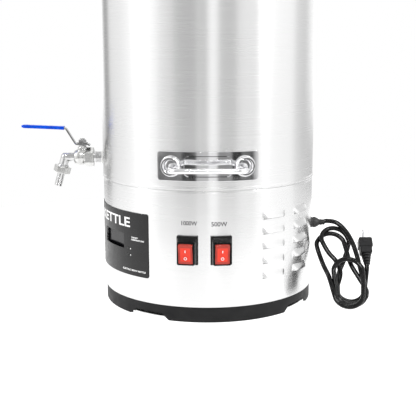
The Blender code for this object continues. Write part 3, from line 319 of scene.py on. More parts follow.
def wallText(name, words, angle, level, width, tall, radius, material, slot, weight=0.0):
    curve = bpy.data.curves.new(name, "FONT")
    curve.body = words
    curve.align_x = "CENTER"
    curve.offset = weight
    curve.extrude = 0.02
    guide = bpy.data.objects.new("letters", curve)
    scene.collection.objects.link(guide)
    mesh = evaluatedMesh(guide)
    bm = bmesh.new()
    bm.from_mesh(mesh)
    bpy.data.objects.remove(guide, do_unlink=True)
    bpy.data.meshes.remove(mesh)
    bmesh.ops.remove_doubles(bm, verts=bm.verts, dist=0.00001)
    low = Vector(min(v.co[i] for v in bm.verts) for i in range(3))
    high = Vector(max(v.co[i] for v in bm.verts) for i in range(3))
    middle, size = (low + high) / 2, high - low
    for vert in bm.verts:
        vert.co.x = (vert.co.x - middle.x) * width / size.x
        vert.co.y = (vert.co.y - middle.y) * tall / size.y
        vert.co.z = (vert.co.z - low.z) / size.z * 0.00012
    bendOnWall(bm, list(bm.verts), angle, radius, level, 0.002)
    return piece(name, bm, material, slot=slot)


# ---- finishes ----
def newMaterial(name, colour, roughness, metallic=0.0, **sockets):
    made = bpy.data.materials.new(name)
    made.use_nodes = True
    core = made.node_tree.nodes["Principled BSDF"]
    core.inputs["Base Color"].default_value = (*colour, 1)
    core.inputs["Roughness"].default_value = roughness
    core.inputs["Metallic"].default_value = metallic
    for label, value in sockets.items():
        core.inputs[label.replace("_", " ")].default_value = value
    return made


def addNode(tree, kind, **values):
    node = tree.nodes.new(kind)
    for label, value in values.items():
        setattr(node, label, value)
    return node


def noise(tree, scale, detail=3.0, rough=0.55):
    # noise read from the object's own coordinates, stretched by scale
    place = addNode(tree, "ShaderNodeTexCoord")
    mapping = addNode(tree, "ShaderNodeMapping")
    mapping.inputs["Scale"].default_value = scale
    made = addNode(tree, "ShaderNodeTexNoise")
    made.inputs["Scale"].default_value = 1.0
    made.inputs["Detail"].default_value = detail
    made.inputs["Roughness"].default_value = rough
    tree.links.new(place.outputs["Object"], mapping.inputs["Vector"])
    tree.links.new(mapping.outputs["Vector"], made.inputs["Vector"])
    return made.outputs["Fac"]


def varyRoughness(made, source, low, high):
    tree = made.node_tree
    spread = addNode(tree, "ShaderNodeMapRange")
    spread.inputs["From Min"].default_value = 0.3
    spread.inputs["From Max"].default_value = 0.7
    spread.inputs["To Min"].default_value = low
    spread.inputs["To Max"].default_value = high
    tree.links.new(source, spread.inputs["Value"])
    tree.links.new(spread.outputs["Result"], tree.nodes["Principled BSDF"].inputs["Roughness"])


def varyColour(made, source, colours, ends=(0.3, 0.7)):
    tree = made.node_tree
    ramp = addNode(tree, "ShaderNodeValToRGB")
    for element, colour, end in zip(ramp.color_ramp.elements, colours, ends):
        element.color = (*colour, 1)
        element.position = end
    tree.links.new(source, ramp.inputs["Fac"])
    tree.links.new(ramp.outputs["Color"], tree.nodes["Principled BSDF"].inputs["Base Color"])


def addBump(made, source, strength, distance):
    tree = made.node_tree
    bump = addNode(tree, "ShaderNodeBump")
    bump.inputs["Strength"].default_value = strength
    bump.inputs["Distance"].default_value = distance
    before = tree.nodes["Principled BSDF"].inputs["Normal"]
    if before.is_linked:
        tree.links.new(before.links[0].from_socket, bump.inputs["Normal"])
    tree.links.new(source, bump.inputs["Height"])
    tree.links.new(bump.outputs["Normal"], before)


def brushedSheet(name, tone=0.74):
    # sheet brushed round the body: light runs up and down it in bands
    made = newMaterial(
        name, (tone, tone, tone * 1.01), 0.26, 1.0, Anisotropic=0.85, Anisotropic_Rotation=0.25
    )
    tree = made.node_tree
    strokes = noise(tree, (9, 9, 2600), 4)
    varyColour(made, strokes, [(tone * 0.97,) * 3, (tone * 1.02,) * 3])
    varyRoughness(made, noise(tree, (6, 6, 900), 3), 0.24, 0.28)
    addBump(made, strokes, 0.05, 0.00002)
    addBump(made, noise(tree, (7, 7, 3), 2), 0.25, 0.0006)
    return made


def polishedSteel():
    made = newMaterial("mirror steel", (0.82, 0.82, 0.83), 0.06, 1.0)
    tree = made.node_tree
    varyRoughness(made, noise(tree, (60, 60, 90), 4), 0.03, 0.12)
    addBump(made, noise(tree, (420, 420, 420), 3), 0.06, 0.00004)
    return made


def machinedSteel(name="machined steel", share=1.0):
    # share below one darkens the steel's colour; the lever arm and its nut use that as painted shade
    made = newMaterial(name, (0.6 * share,) * 3, 0.18, 1.0)
    tree = made.node_tree
    varyColour(made, noise(tree, (140, 140, 140), 4), [(0.5 * share,) * 3, (0.68 * share,) * 3])
    varyRoughness(made, noise(tree, (300, 300, 2000), 3), 0.1, 0.22)
    addBump(made, noise(tree, (2400, 2400, 2400), 3), 0.15, 0.00003)
    return made


def castSteel():
    made = newMaterial("cast steel", (0.62, 0.62, 0.61), 0.24, 1.0)
    tree = made.node_tree
    varyColour(made, noise(tree, (220, 220, 220), 5), [(0.52, 0.52, 0.51), (0.7, 0.7, 0.69)])
    varyRoughness(made, noise(tree, (700, 700, 700), 3), 0.17, 0.3)
    addBump(made, noise(tree, (1500, 1500, 1500), 4), 0.35, 0.00008)
    return made


def castAluminium():
    made = newMaterial("cast aluminium", (0.7, 0.71, 0.72), 0.45, 1.0)
    tree = made.node_tree
    varyColour(made, noise(tree, (90, 90, 90), 5), [(0.58, 0.59, 0.6), (0.74, 0.75, 0.76)])
    addBump(made, noise(tree, (900, 900, 900), 4), 0.4, 0.0001)
    return made


def mouldedPlastic(name, dark, light, rough, grain=1800, depth=0.00008, **sockets):
    made = newMaterial(name, dark, rough, 0.0, **sockets)
    tree = made.node_tree
    varyColour(made, noise(tree, (35, 35, 60), 4), [dark, light])
    varyRoughness(made, noise(tree, (110, 110, 110), 3), rough - 0.06, rough + 0.07)
    addBump(made, noise(tree, (grain, grain, grain), 3), 0.3, depth)
    return made


def softGloss(name, dark, light, rough, **sockets):
    # a skin with a slow ripple: vinyl, rubber and clear plastics
    made = newMaterial(name, dark, rough, 0.0, **sockets)
    tree = made.node_tree
    varyColour(made, noise(tree, (70, 70, 70), 3), [dark, light])
    varyRoughness(made, noise(tree, (240, 240, 240), 3), rough - 0.05, rough + 0.06)
    addBump(made, noise(tree, (500, 500, 500), 2), 0.12, 0.00005)
    return made


def circuitBoard():
    # solder mask with straight tracks and tinned pads
    made = newMaterial("circuit board", (0.02, 0.16, 0.05), 0.4)
    tree = made.node_tree
    place = addNode(tree, "ShaderNodeTexCoord")
    tracks = addNode(tree, "ShaderNodeTexBrick")
    tracks.inputs["Scale"].default_value = 160
    tracks.inputs["Mortar Size"].default_value = 0.05
    tracks.inputs["Color1"].default_value = (0.015, 0.13, 0.04, 1)
    tracks.inputs["Color2"].default_value = (0.02, 0.17, 0.06, 1)
    tracks.inputs["Mortar"].default_value = (0.12, 0.34, 0.12, 1)
    tree.links.new(place.outputs["Object"], tracks.inputs["Vector"])
    tree.links.new(tracks.outputs["Color"], tree.nodes["Principled BSDF"].inputs["Base Color"])
    addBump(made, tracks.outputs["Fac"], 0.2, 0.00006)
    return made


bodySheet = brushedSheet("brushed body steel")
mirrorSteel = polishedSteel()
turnedSteel = machinedSteel()
roughSteel = castSteel()
# steel at half brightness: its darkness is painted shade on the lever arm and the lever nut
shadeDarkenedSteel = machinedSteel("steel darkened as painted shade", 0.5)
paleAluminium = castAluminium()
basePlastic = mouldedPlastic("base moulding", (0.008, 0.008, 0.0085), (0.015, 0.015, 0.0155), 0.5, IOR=1.26)
switchPlastic = mouldedPlastic(
    "switch moulding", (0.002, 0.002, 0.002), (0.005, 0.005, 0.005), 0.2, 900, 0.00003, IOR=1.24
)
handlePlastic = mouldedPlastic("handle moulding", (0.012, 0.012, 0.012), (0.024, 0.024, 0.024), 0.4)
plugPlastic = mouldedPlastic(
    "plug moulding", (0.008, 0.008, 0.009), (0.018, 0.018, 0.019), 0.38, 1200, IOR=1.3
)
panelFilm = mouldedPlastic(
    "panel film", (0.006, 0.006, 0.0063), (0.010, 0.010, 0.0105), 0.3, 2600, 0.00003, IOR=1.4
)
windowLens = softGloss("window lens", (0.003, 0.003, 0.004), (0.006, 0.006, 0.007), 0.16, IOR=1.3)
rockerEdge = softGloss("rocker border", (0.36, 0.035, 0.024), (0.44, 0.045, 0.03), 0.2, IOR=1.35)
rockerFace = softGloss("rocker face", (0.66, 0.035, 0.018), (0.76, 0.05, 0.026), 0.18, IOR=1.35)
blueVinyl = softGloss("blue vinyl", (0.0, 0.05, 0.52), (0.0, 0.085, 0.7), 0.2, IOR=1.22)
cordSheath = softGloss("cord sheath", (0.0012, 0.0012, 0.0013), (0.003, 0.003, 0.003), 0.12, IOR=1.3)
paleSilicone = softGloss("silicone", (0.7, 0.7, 0.68), (0.82, 0.82, 0.8), 0.5)
whitePrint = mouldedPlastic("white print", (0.82, 0.82, 0.82), (0.92, 0.92, 0.92), 0.5)
darkPrint = mouldedPlastic("dark print", (0.02, 0.02, 0.021), (0.035, 0.035, 0.036), 0.5, IOR=1.3)
relayPlastic = mouldedPlastic("relay case", (0.02, 0.09, 0.42), (0.03, 0.12, 0.52), 0.4)
boardMask = circuitBoard()
print("finishes ready")

# ---- camera ----
cameraSetup = {"place": (0, -1.2475, 0.3674), "down": 11.05, "roll": -0.0025, "lens": 74.42, "sensor": 36}


def buildCamera():
    lens = bpy.data.cameras.new("camera")
    lens.lens = cameraSetup["lens"]
    lens.sensor_width = cameraSetup["sensor"]
    lens.clip_end = 50
    camera = bpy.data.objects.new("camera", lens)
    scene.collection.objects.link(camera)
    tilt = Matrix.Rotation(math.pi / 2 - math.radians(cameraSetup["down"]), 4, "X")
    roll = Matrix.Rotation(cameraSetup["roll"], 4, "Z")
    camera.matrix_world = Matrix.Translation(cameraSetup["place"]) @ tilt @ roll
    scene.camera = camera


buildCamera()

# ---- mains lead ----
# The lead hangs from the gland and is tied in a hank that leans against the kettle. A point of the hank
# is (across, up its lean, in front of its plane).
lead = {
    "diameter": 0.0068,
    "foot": Vector((0, -0.087, -0.003)),
    "lean": 50.4,
    "fold": 0.0206,  # radius of the bends at both ends
    # how far each layer stands in front of the hank's plane, from the front one to the rear one
    "layers": (0.0105, 0.0035, -0.0035, -0.0105),
    "rightStrand": (
        (0.1905, 0.1345), (0.2015, 0.1215), (0.2095, 0.1040), (0.2145, 0.0840), (0.2180, 0.0620)
    ),
    "lowLoops": ((0.1975, 0.0180), (0.2030, 0.0230), (0.2050, 0.0285), (0.2040, 0.0345)),
    "wrap": (0.1995, 0.0505),
    "backLoop": (0.1800, 0.0985),
    "topLoop": (0.1868, 0.1075),
}


def inHank(across, up, forward=0.0):
    lean = math.radians(lead["lean"])
    along = Vector((0, math.cos(lean), math.sin(lean)))
    normal = Vector((0, -math.sin(lean), math.cos(lean)))
    return lead["foot"] + Vector((across, 0, 0)) + up * along + forward * normal


def hankArc(centre, start, end, nearDepth, farDepth, steps=6):
    # part of a round fold, from one angle to another, sinking or rising on its way
    points = []
    for step in range(steps + 1):
        share = step / steps
        turn = math.radians(start + (end - start) * share)
        across = centre[0] + lead["fold"] * math.cos(turn)
        up = centre[1] + lead["fold"] * math.sin(turn)
        points.append(inHank(across, up, nearDepth + (farDepth - nearDepth) * share))
    return points


def leadRoute():
    first, second, third, fourth = lead["layers"]
    lowFirst, lowSecond, lowThird, lowFourth = lead["lowLoops"]
    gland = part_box("cord_gland")[1].x
    up = 0.1365
    route = [
        Vector((gland + 0.0003, 0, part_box("cord_gland")[0].z + 0.0078)),
        inHank(gland + 0.0060, up + 0.0006),
        inHank(gland + 0.0130, up + 0.0016, 0.0006),
    ]
    for i, (across, height) in enumerate(lead["rightStrand"]):
        route.append(inHank(across, height, min(second, 0.0012 * (i + 1))))
    # the first low loop, then the wrap that crosses in front of the waist
    route += hankArc(lowSecond, 0, -180, second, second)
    route += hankArc(lead["wrap"], 180, 0, first, first)
    route += hankArc(lowFirst, 0, -180, first, first)
    # the loop at the back on the left, and its low loop
    route += [inHank(0.1722, 0.0460, (first + third) / 2 + 0.002), inHank(0.1660, 0.0700, third + 0.001)]
    route += hankArc(lead["backLoop"], 180, 0, third, third)
    route += [inHank(0.2065, 0.0700, third), inHank(0.2165, 0.0480, third)]
    route += hankArc(lowThird, 0, -170, third, third)
    # up behind, over the top and down in front as far as the waist
    route += [inHank(0.1890, 0.0560, fourth), inHank(0.1985, 0.0790, fourth)]
    route += hankArc(lead["topLoop"], -5, 195, fourth, second, 8)
    route += [
        inHank(0.1745, 0.0850, second), inHank(0.1850, 0.0700, second), inHank(0.1905, 0.0540, -0.0035)
    ]
    # the last low loop runs the other way and ends in the plug
    route += hankArc(lowFourth, 190, 355, fourth, fourth)
    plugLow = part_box("plug_body")
    plugAcross = (plugLow[0].x + plugLow[1].x) / 2
    route += [
        inHank(0.2275, 0.0500, -0.0068),
        inHank(plugAcross - 0.0004, 0.0630, -0.0016), inHank(plugAcross, 0.0760, 0.0)
    ]
    return route


def buildLead():
    points = smoothRoute(leadRoute(), 6)
    sheath = tubeCurve("mainsLead", points, lead["diameter"] / 2, 6)
    sheath.data.materials.append(cordSheath)
    settle(sheath, "kettle", ("cord_lead", "cord_hank", "cord_tail"))
    length = sum((b - a).length for a, b in zip(points, points[1:]))
    print("lead length", round(length, 4))
    return sheath, points[0], length


mainsLead, leadExit, leadLength = buildLead()

plugShape = {
    "across": 0.0205, "deep": 0.0185, "bladeWide": 0.0063, "bladeThick": 0.0015,
}


def buildPlug():
    # Z runs up the plug towards its blades
    low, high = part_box("plug_body")
    middle = (low.x + high.x) / 2
    tilt = Matrix.Rotation(math.radians(lead["lean"]) - math.pi / 2, 4, "X")
    place = Matrix.Translation(inHank(middle, 0.088)) @ tilt
    wide, deep = plugShape["across"], plugShape["deep"]
    bm = bmesh.new()
    roundedBlock(bm, (wide, deep, 0.0150), (0, 0, 0.0125), 0.0022, 4, place, taper=(0.94, 0.94))
    roundedBlock(bm, (wide * 0.84, deep * 0.84, 0.0130), (0, 0, 0.0020), 0.0020, 4, place)
    roundedBlock(bm, (wide * 0.5, deep * 1.04, 0.0085), (0, 0, 0.0145), 0.0018, 4, place)
    profile = [(0, 0.004, 0), (0.0078, 0.004, 0.0006), (0.0080, -0.0025, 0.0006)]
    for i in range(4):
        level = -0.0040 - 0.0042 * i
        across = 0.0074 - 0.0008 * i
        profile += [
            (across - 0.0016, level, 0.0003), (across - 0.0016, level - 0.0013, 0.0003),
            (across, level - 0.0014, 0.0003), (across - 0.0004, level - 0.0038, 0.0003),
        ]
    profile += [(0.0043, -0.0206, 0.0004), (0.0035, -0.0206, 0), (0, -0.0206, 0)]
    turned(bm, profile, place, 32)
    for x in (-0.00635, 0.00635):
        size = (plugShape["bladeThick"], plugShape["bladeWide"], 0.0175)
        roundedBlock(bm, size, (x, -0.002, 0.02 + 0.0085), 0.0004, 2, place, 1, taper=(0.8, 0.9))
    pin = [
        (0, 0.0395, 0), (0.0012, 0.0395, 0.0008), (0.0024, 0.037, 0.0008), (0.0024, 0.019, 0), (0, 0.019, 0)
    ]
    turned(bm, pin, place @ Matrix.Translation((0, 0.0058, 0)), 24, index=1)
    return piece("mainsPlug", bm, [plugPlastic, mirrorSteel], slot="black_plastic", replaced=("plug_body",))


mainsPlug = buildPlug()

glandShape = {"collar": 0.0078, "nose": 0.0052, "length": 0.0125, "inside": 0.012}


def buildGland():
    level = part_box("cord_gland")[0].z + 0.0078
    place = Matrix.Translation((skirtRadius, 0, level)) @ Matrix.Rotation(math.pi / 2, 4, "Y")
    collar, nose, end = glandShape["collar"], glandShape["nose"], glandShape["length"]
    profile = [
        (0, -glandShape["inside"], 0), (collar - 0.0012, -glandShape["inside"], 0.0006),
        (collar - 0.0012, 0.0002, 0), (collar, 0.0002, 0.0003), (collar, 0.0026, 0.0004),
        (collar - 0.0006, 0.0030, 0.0002), (collar - 0.0006, 0.0036, 0.0002), (collar, 0.0040, 0.0004),
        (collar, 0.0070, 0.0010), (nose + 0.0004, end - 0.0006, 0.0020), (nose - 0.0012, end, 0.0006),
        (0.0036, end, 0), (0, end, 0),
    ]
    bm = bmesh.new()
    turned(bm, profile, place, 48)
    for i in range(8):  # grip ribs round the collar
        turn = Matrix.Rotation(math.pi / 4 * i, 4, "Z") @ Matrix.Translation((collar, 0, 0.0055))
        roundedBlock(bm, (0.0006, 0.0016, 0.0030), (0, 0, 0), 0.0002, 2, place @ turn)
    boot = [(0, end - 0.001, 0), (0.0050, end - 0.001, 0), (0.0048, end + 0.0006, 0.0003)]
    for i in range(3):
        level = end + 0.0012 + 0.0022 * i
        wide = 0.0047 - 0.0003 * i
        boot += [
            (wide - 0.0007, level, 0.0002), (wide - 0.0007, level + 0.0008, 0.0002),
            (wide, level + 0.0009, 0.0002), (wide - 0.0001, level + 0.0020, 0.0002),
        ]
    boot += [(0.0036, end + 0.0082, 0), (0, end + 0.0082, 0)]
    turned(bm, boot, place, 32)
    piece("leadGland", bm, handlePlastic, slot="black_plastic", replaced=("cord_gland",))


buildGland()
print("mains lead done")

# ---- vessel ----
vesselShape = {"wall": 0.0012, "bead": 0.0028, "foot": 0.0005, "steps": 192}


def buildVessel():
    wall, bead = vesselShape["wall"], vesselShape["bead"]
    inside = wallRadius - wall
    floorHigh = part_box("vessel")[0].z + wall
    step = skirtRadius - 0.001 - 0.0003
    top = rimLevel
    profile = [
        (0, floorHigh, 0), (step - wall - 0.001, floorHigh, 0.006), (step - wall, seamLevel - 0.002, 0.001),
        (inside, seamLevel + 0.003, 0.001), (inside, top - 2 * bead, 0.0004),
        (wallRadius - bead * 0.55, top - bead * 1.2, 0.0008), (wallRadius - bead * 0.45, top, 0.0014),
        (wallRadius + bead * 1.3, top, 0.0022), (wallRadius + bead * 1.3, top - 2 * bead, 0.0020),
        (wallRadius, top - 2 * bead, 0.0004), (wallRadius, seamLevel + 0.0046, 0.0008),
        (wallRadius + vesselShape["foot"], seamLevel + 0.0036, 0.0006),
        (wallRadius + vesselShape["foot"], seamLevel + 0.0011, 0.0006), (step, seamLevel + 0.0010, 0.0002),
        (step, floorHigh - wall + 0.004, 0.002),
        (step - 0.004, floorHigh - wall, 0.002), (0, floorHigh - wall, 0),
    ]
    bm = bmesh.new()
    turned(bm, profile, None, vesselShape["steps"])
    return piece("vesselShell", bm, bodySheet, slot="brushed_steel", replaced=("vessel",))


buildVessel()

# ---- skirt with its pressed louvres ----
skirtShape = {
    "louvreAngles": (35.7, 57.3), "louvreLevels": (0.0541, 0.0744, 0.0947, 0.1149, 0.1352),
    "louvreWide": 0.0365, "louvreTall": 0.0092, "proud": 0.0042, "slit": 0.0014, "thick": 0.0009,
    "windowAngle": -60, "windowWide": 0.064, "windowLow": 0.0850, "windowHigh": 0.1120,
}


def skirtSheet():
    # a sheet with fine rows and columns only where the louvres are
    s = skirtShape
    levels = {skirtLow + 0.0003, skirtLow + 0.0018, s["windowLow"], s["windowHigh"]}
    levels |= {seamLevel - drop for drop in (0.0004, 0.0009, 0.0013, 0.0031, 0.0034, 0.0037)}
    levels |= {skirtLow + 0.012 * i for i in range(1, 4)} | {seamLevel - 0.006 * i for i in range(1, 3)}
    for low in s["louvreLevels"]:
        levels |= {low - s["slit"], low - s["slit"] * 2}
        levels |= {low + s["louvreTall"] * 1.06 * i / 10 for i in range(11)}
    bm = bmesh.new()
    row = [bm.verts.new((0, -skirtRadius, level)) for level in sorted(levels)]
    geom = row + [bm.edges.new(pair) for pair in zip(row, row[1:])]
    half = math.degrees((s["louvreWide"] / 2 + 0.002) / skirtRadius)
    start = 0
    for angle in s["louvreAngles"]:
        for reach, stepSize in ((angle - half, 2.0), (angle + half, 0.42)):
            steps = max(1, round((reach - start) / stepSize))
            geom = bmesh.ops.spin(
                bm, geom=geom, cent=(0, 0, 0), axis=(0, 0, 1), dvec=(0, 0, 0),
                angle=math.radians(reach - start), steps=steps, use_merge=False, use_duplicate=False,
            )["geom_last"]
            start = reach
    bmesh.ops.spin(
        bm, geom=geom, cent=(0, 0, 0), axis=(0, 0, 1), dvec=(0, 0, 0),
        angle=math.radians(360 - start),
        steps=round((360 - start) / 2), use_merge=False, use_duplicate=False,
    )
    bmesh.ops.remove_doubles(bm, verts=bm.verts, dist=0.00002)
    return bm


def louvreShare(x, rise):
    # how far a pressed hood stands out, from 0 to 1
    s = skirtShape
    across = abs(x) / (s["louvreWide"] / 2)
    up = rise / s["louvreTall"]
    if across >= 1 or up < -0.01 or up >= 1:
        return 0.0
    top = max(0.0, up)
    return math.sqrt(1 - across**5) * (0.5 + 0.5 * math.cos(math.pi * top)) ** 0.8


def tuckedIn(height, below):
    # the skirt draws in at its foot, and in steps under the vessel
    if height < skirtLow + 0.0008:
        return 0.0006
    for reach, depth in ((0.0006, 0.0018), (0.0011, 0.0006), (0.0033, 0.0003)):
        if below < reach:
            return depth
    return 0.0


def buildSkirt():
    s = skirtShape
    bm = skirtSheet()
    for vert in bm.verts:
        angle = math.degrees(math.atan2(vert.co.x, -vert.co.y))
        share = 0.0
        for place in s["louvreAngles"]:
            for low in s["louvreLevels"]:
                across = math.radians(angle - place) * skirtRadius
                share = max(share, louvreShare(across, vert.co.z - low))
        below = seamLevel - vert.co.z
        radius = skirtRadius + s["proud"] * share - tuckedIn(vert.co.z, below)
        vert.co = onWall(angle, radius, vert.co.z)
    gone = []
    for face in bm.faces:
        centre = face.calc_center_median()
        angle = math.degrees(math.atan2(centre.x, -centre.y))
        for place in s["louvreAngles"]:
            across = abs(math.radians(angle - place)) * skirtRadius
            for low in s["louvreLevels"]:
                if across < s["louvreWide"] / 2 - 0.0008 and low - s["slit"] < centre.z < low:
                    gone.append(face)
        across = abs(math.radians(angle - s["windowAngle"])) * skirtRadius
        if across < s["windowWide"] / 2 and s["windowLow"] < centre.z < s["windowHigh"]:
            gone.append(face)
    bmesh.ops.delete(bm, geom=gone, context="FACES")
    bmesh.ops.recalc_face_normals(bm, faces=bm.faces)
    outer = max(bm.faces, key=lambda face: face.calc_area())
    if outer.normal.dot(outer.calc_center_median().xy.to_3d()) < 0:
        bmesh.ops.reverse_faces(bm, faces=bm.faces)
    skirt = piece("skirtShell", bm, bodySheet, slot="brushed_steel", replaced=("base_skirt",), sharp=50)
    sheet = skirt.modifiers.new("sheet", "SOLIDIFY")
    sheet.thickness = s["thick"]
    sheet.offset = -1
    sheet.use_even_offset = True
    return applied(skirt, 50)


buildSkirt()

# ---- base ring ----
ringShape = {
    "wall": 0.003, "shelf": 0.012, "archFirst": 56.8, "archTop": 17.0, "archFoot": 25.0, "archTall": 0.009,
    "steps": 240,
}


def buildBaseRing():
    s = ringShape
    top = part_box("bottom_cover")[0].z + 0.0176
    inner = ringRadius - s["wall"]
    lip = skirtRadius - 0.001 - 0.0003
    shelf = top - s["wall"]
    profile = [
        (inner, floorLevel, 0.0006), (inner, shelf, 0.0004), (inner - s["shelf"], shelf, 0.0004),
        (inner - s["shelf"], top, 0.0004), (lip - 0.002, top, 0.0002), (lip - 0.002, top + 0.010, 0.0004),
        (lip, top + 0.010, 0.0004), (lip, top, 0.0002),
        (ringRadius, top, 0.0009), (ringRadius, floorLevel, 0.0009),
    ]
    bm = bmesh.new()
    turned(bm, profile, None, s["steps"], closed=True)
    ring = piece("baseRing", bm, basePlastic, slot="base_plastic", replaced=("base_ring",))
    cutter = bmesh.new()
    for i in range(4):
        old = set(cutter.verts)
        for corner in bmesh.ops.create_cube(cutter, size=1)["verts"]:
            above = corner.co.z > 0
            side = 1 if corner.co.x > 0 else -1
            deep = 0.006 if corner.co.y < 0 else -0.006
            half = math.radians(s["archTop"] if above else s["archFoot"] + 3) / 2
            corner.co = (
                side * ringRadius * math.sin(half), -ringRadius - deep,
                floorLevel + s["archTall"] if above else floorLevel - 0.0033,
            )
        verts = newSince(cutter, old)
        uprights = [
            e for e in {e for v in verts for e in v.link_edges}
            if abs(e.verts[0].co.y - e.verts[1].co.y) > 0.01 and e.verts[0].co.z > floorLevel
        ]
        bmesh.ops.bevel(
            cutter, geom=uprights, offset=0.0015, segments=4, profile=0.5, affect="EDGES", material=-1
        )
        moveNew(cutter, old, wallTurn(s["archFirst"] + 90 * i), 0)
    carve(ring, cutter, sharp=30)


buildBaseRing()
print("body done")

# ---- lid ----
lidShape = {"thick": 0.001, "rise": 0.015, "handleRadius": 0.0055, "steps": 160}


def buildLid():
    s = lidShape
    plug = wallRadius - 0.0012 - 0.0010 - s["thick"]
    brim = wallRadius + 0.0028 * 1.45 + 0.0015
    profile = [
        (0, s["rise"], 0), (0.030, s["rise"], 0.0012), (0.034, s["rise"] + 0.0008, 0.0012),
        (0.072, s["rise"] + 0.0008, 0.0012),
        (0.075, s["rise"], 0.0012), (plug - 0.040, s["rise"] - 0.003, 0.010),
        (plug - 0.012, -0.0050, 0.004), (plug - 0.002, -0.0050, 0.0008), (plug, -0.0030, 0.0008),
        (plug + 0.0001, s["thick"] + 0.0003, 0.0008),
        (brim, s["thick"] + 0.0003, 0.0007), (brim + 0.0008, -0.0015, 0),
    ]
    bm = bmesh.new()
    old = set(bm.verts)
    turned(bm, profile, Matrix.Translation((0, 0, rimLevel)), s["steps"])
    verts = newSince(bm, old)
    faces = facesOf(verts)
    if max(faces, key=lambda face: face.calc_center_median().z).normal.z < 0:
        bmesh.ops.reverse_faces(bm, faces=faces)
    lid = piece("lidShell", bm, bodySheet, "lid", "brushed_steel", ("lid",))
    sheet = lid.modifiers.new("sheet", "SOLIDIFY")
    sheet.thickness = s["thick"]
    sheet.offset = -1
    sheet.use_even_offset = True
    applied(lid)


def buildLidHandle():
    low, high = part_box("lid_handle")
    half = high.x - lidShape["handleRadius"]
    base, top = low.z, high.z - lidShape["handleRadius"]
    bend = 0.014
    route = [Vector((-half, 0, base)), Vector((-half, 0, (base + top) / 2 - 0.002))]
    for side, start in ((-1, 180), (1, 90)):
        for step in range(7):
            angle = math.radians(start - 15 * step)
            centre = side * (half - bend)
            route.append(Vector((centre + bend * math.cos(angle), 0, top - bend + bend * math.sin(angle))))
    route += [Vector((half, 0, (base + top) / 2 - 0.002)), Vector((half, 0, base))]
    bm = bmesh.new()
    addTube(bm, smoothRoute(route, 3), lidShape["handleRadius"], 6)
    for x in (-half, half):
        foot = [(0, 0.0045, 0), (0.0058, 0.0045, 0.0012), (0.0086, 0.0, 0.0006), (0, 0, 0)]
        turned(bm, foot, Matrix.Translation((x, 0, base)), 40)
    grip = [(0, -0.021, 0), (0.0058, -0.021, 0.001), (0.0068, -0.014, 0.006), (0.0068, 0.014, 0.006),
            (0.0058, 0.021, 0.001), (0, 0.021, 0)]
    turned(bm, grip, Matrix.Translation((0, 0, top)) @ Matrix.Rotation(math.pi / 2, 4, "Y"), 40)
    piece("lidHandleBow", bm, handlePlastic, "lid", "black_plastic", ("lid_handle",))


buildLid()
buildLidHandle()
print("lid done")

# ---- bar handles ----
barShape = {
    "plateWide": 0.1355, "plateTall": 0.0387, "plateThick": 0.0012, "plateCorner": 0.004, "level": 0.2075,
    "rimWide": 0.062, "rimTall": 0.0265, "rim": 0.0036, "rimProud": 0.0032,
    "barRadius": 0.0035, "reach": 0.040, "barAngle": 18.15, "bend": 0.009,
    "collar": 0.0139, "collarHole": 0.0079, "collarProud": 0.0062,
}


def buildHandlePlate(side, angle):
    s = barShape
    outer = wallRadius + 0.0003 + s["plateThick"]
    bm = bmesh.new()
    plate(bm, s["plateWide"], s["plateTall"], s["plateCorner"], s["plateThick"], angle, s["level"],
          wallRadius + 0.0003, 0.0005)
    # the raised rim of the finger pocket
    old = set(bm.verts)
    face = outlineFace(bm, s["rimWide"], s["rimTall"], 0.0062, 10)
    bmesh.ops.inset_region(
        bm, faces=[face], thickness=s["rim"], depth=0, use_even_offset=True, use_boundary=True
    )
    band = [f for f in facesOf(newSince(bm, old)) if f is not face]
    bmesh.ops.delete(bm, geom=[face], context="FACES")
    swept = bmesh.ops.extrude_face_region(bm, geom=band)["geom"]
    top = [item for item in swept if isinstance(item, bmesh.types.BMVert)]
    bmesh.ops.translate(bm, vec=(0, 0, s["rimProud"]), verts=top)
    topSet = set(top)
    crest = [
        e for e in {e for v in top for e in v.link_edges}
        if e.verts[0] in topSet and e.verts[1] in topSet and any(
            not (set(f.verts) <= topSet) for f in e.link_faces
        )
    ]
    bmesh.ops.bevel(bm, geom=crest, offset=0.0014, segments=5, profile=0.5, affect="EDGES", material=-1)
    verts = newSince(bm, old)
    bmesh.ops.recalc_face_normals(bm, faces=facesOf(verts))
    bendOnWall(bm, verts, angle, outer - 0.0004, s["level"])
    tall = s["collarProud"]
    collar = [
        (s["collarHole"], -0.0006, 0), (s["collarHole"], tall * 0.5, 0.0010),
        (s["collarHole"] + 0.0020, tall, 0.0016),
        (s["collar"] - 0.0026, tall, 0.0018), (s["collar"], tall * 0.35, 0.0016), (s["collar"], -0.0006, 0),
    ]
    for sign in (-1, 1):
        turned(bm, collar, facingOut(angle + sign * s["barAngle"], outer, s["level"]), 64, closed=True)
    name = side + "_handle_plate"
    piece(side + "HandlePlate", bm, mirrorSteel, slot="polished_steel", replaced=(name,), sharp=32)


def buildBar(side, angle):
    s = barShape
    outer = wallRadius + 0.0003 + s["plateThick"]
    span = outer * math.sin(math.radians(s["barAngle"]))
    reach = wallRadius + s["reach"]
    near = math.sqrt(outer**2 - span**2)
    route = [Vector((-span, -near, 0)), Vector((-span, -(near + reach - s["bend"]) / 2, 0))]
    for side2, start in ((-1, 180), (1, 90)):
        for step in range(7):
            turn = math.radians(start - 15 * step)
            x = side2 * (span - s["bend"]) + s["bend"] * math.cos(turn)
            y = reach - s["bend"] + s["bend"] * math.sin(turn)
            route.append(Vector((x, -y, 0)))
    route += [Vector((span, -(near + reach - s["bend"]) / 2, 0)), Vector((span, -near, 0))]
    turn = Matrix.Translation((0, 0, s["level"])) @ wallTurn(angle)
    bm = bmesh.new()
    addTube(bm, [turn @ point for point in smoothRoute(route, 3)], s["barRadius"], 7)
    piece(side + "HandleBar", bm, mirrorSteel, slot="polished_steel", replaced=(side + "_handle_bar",))


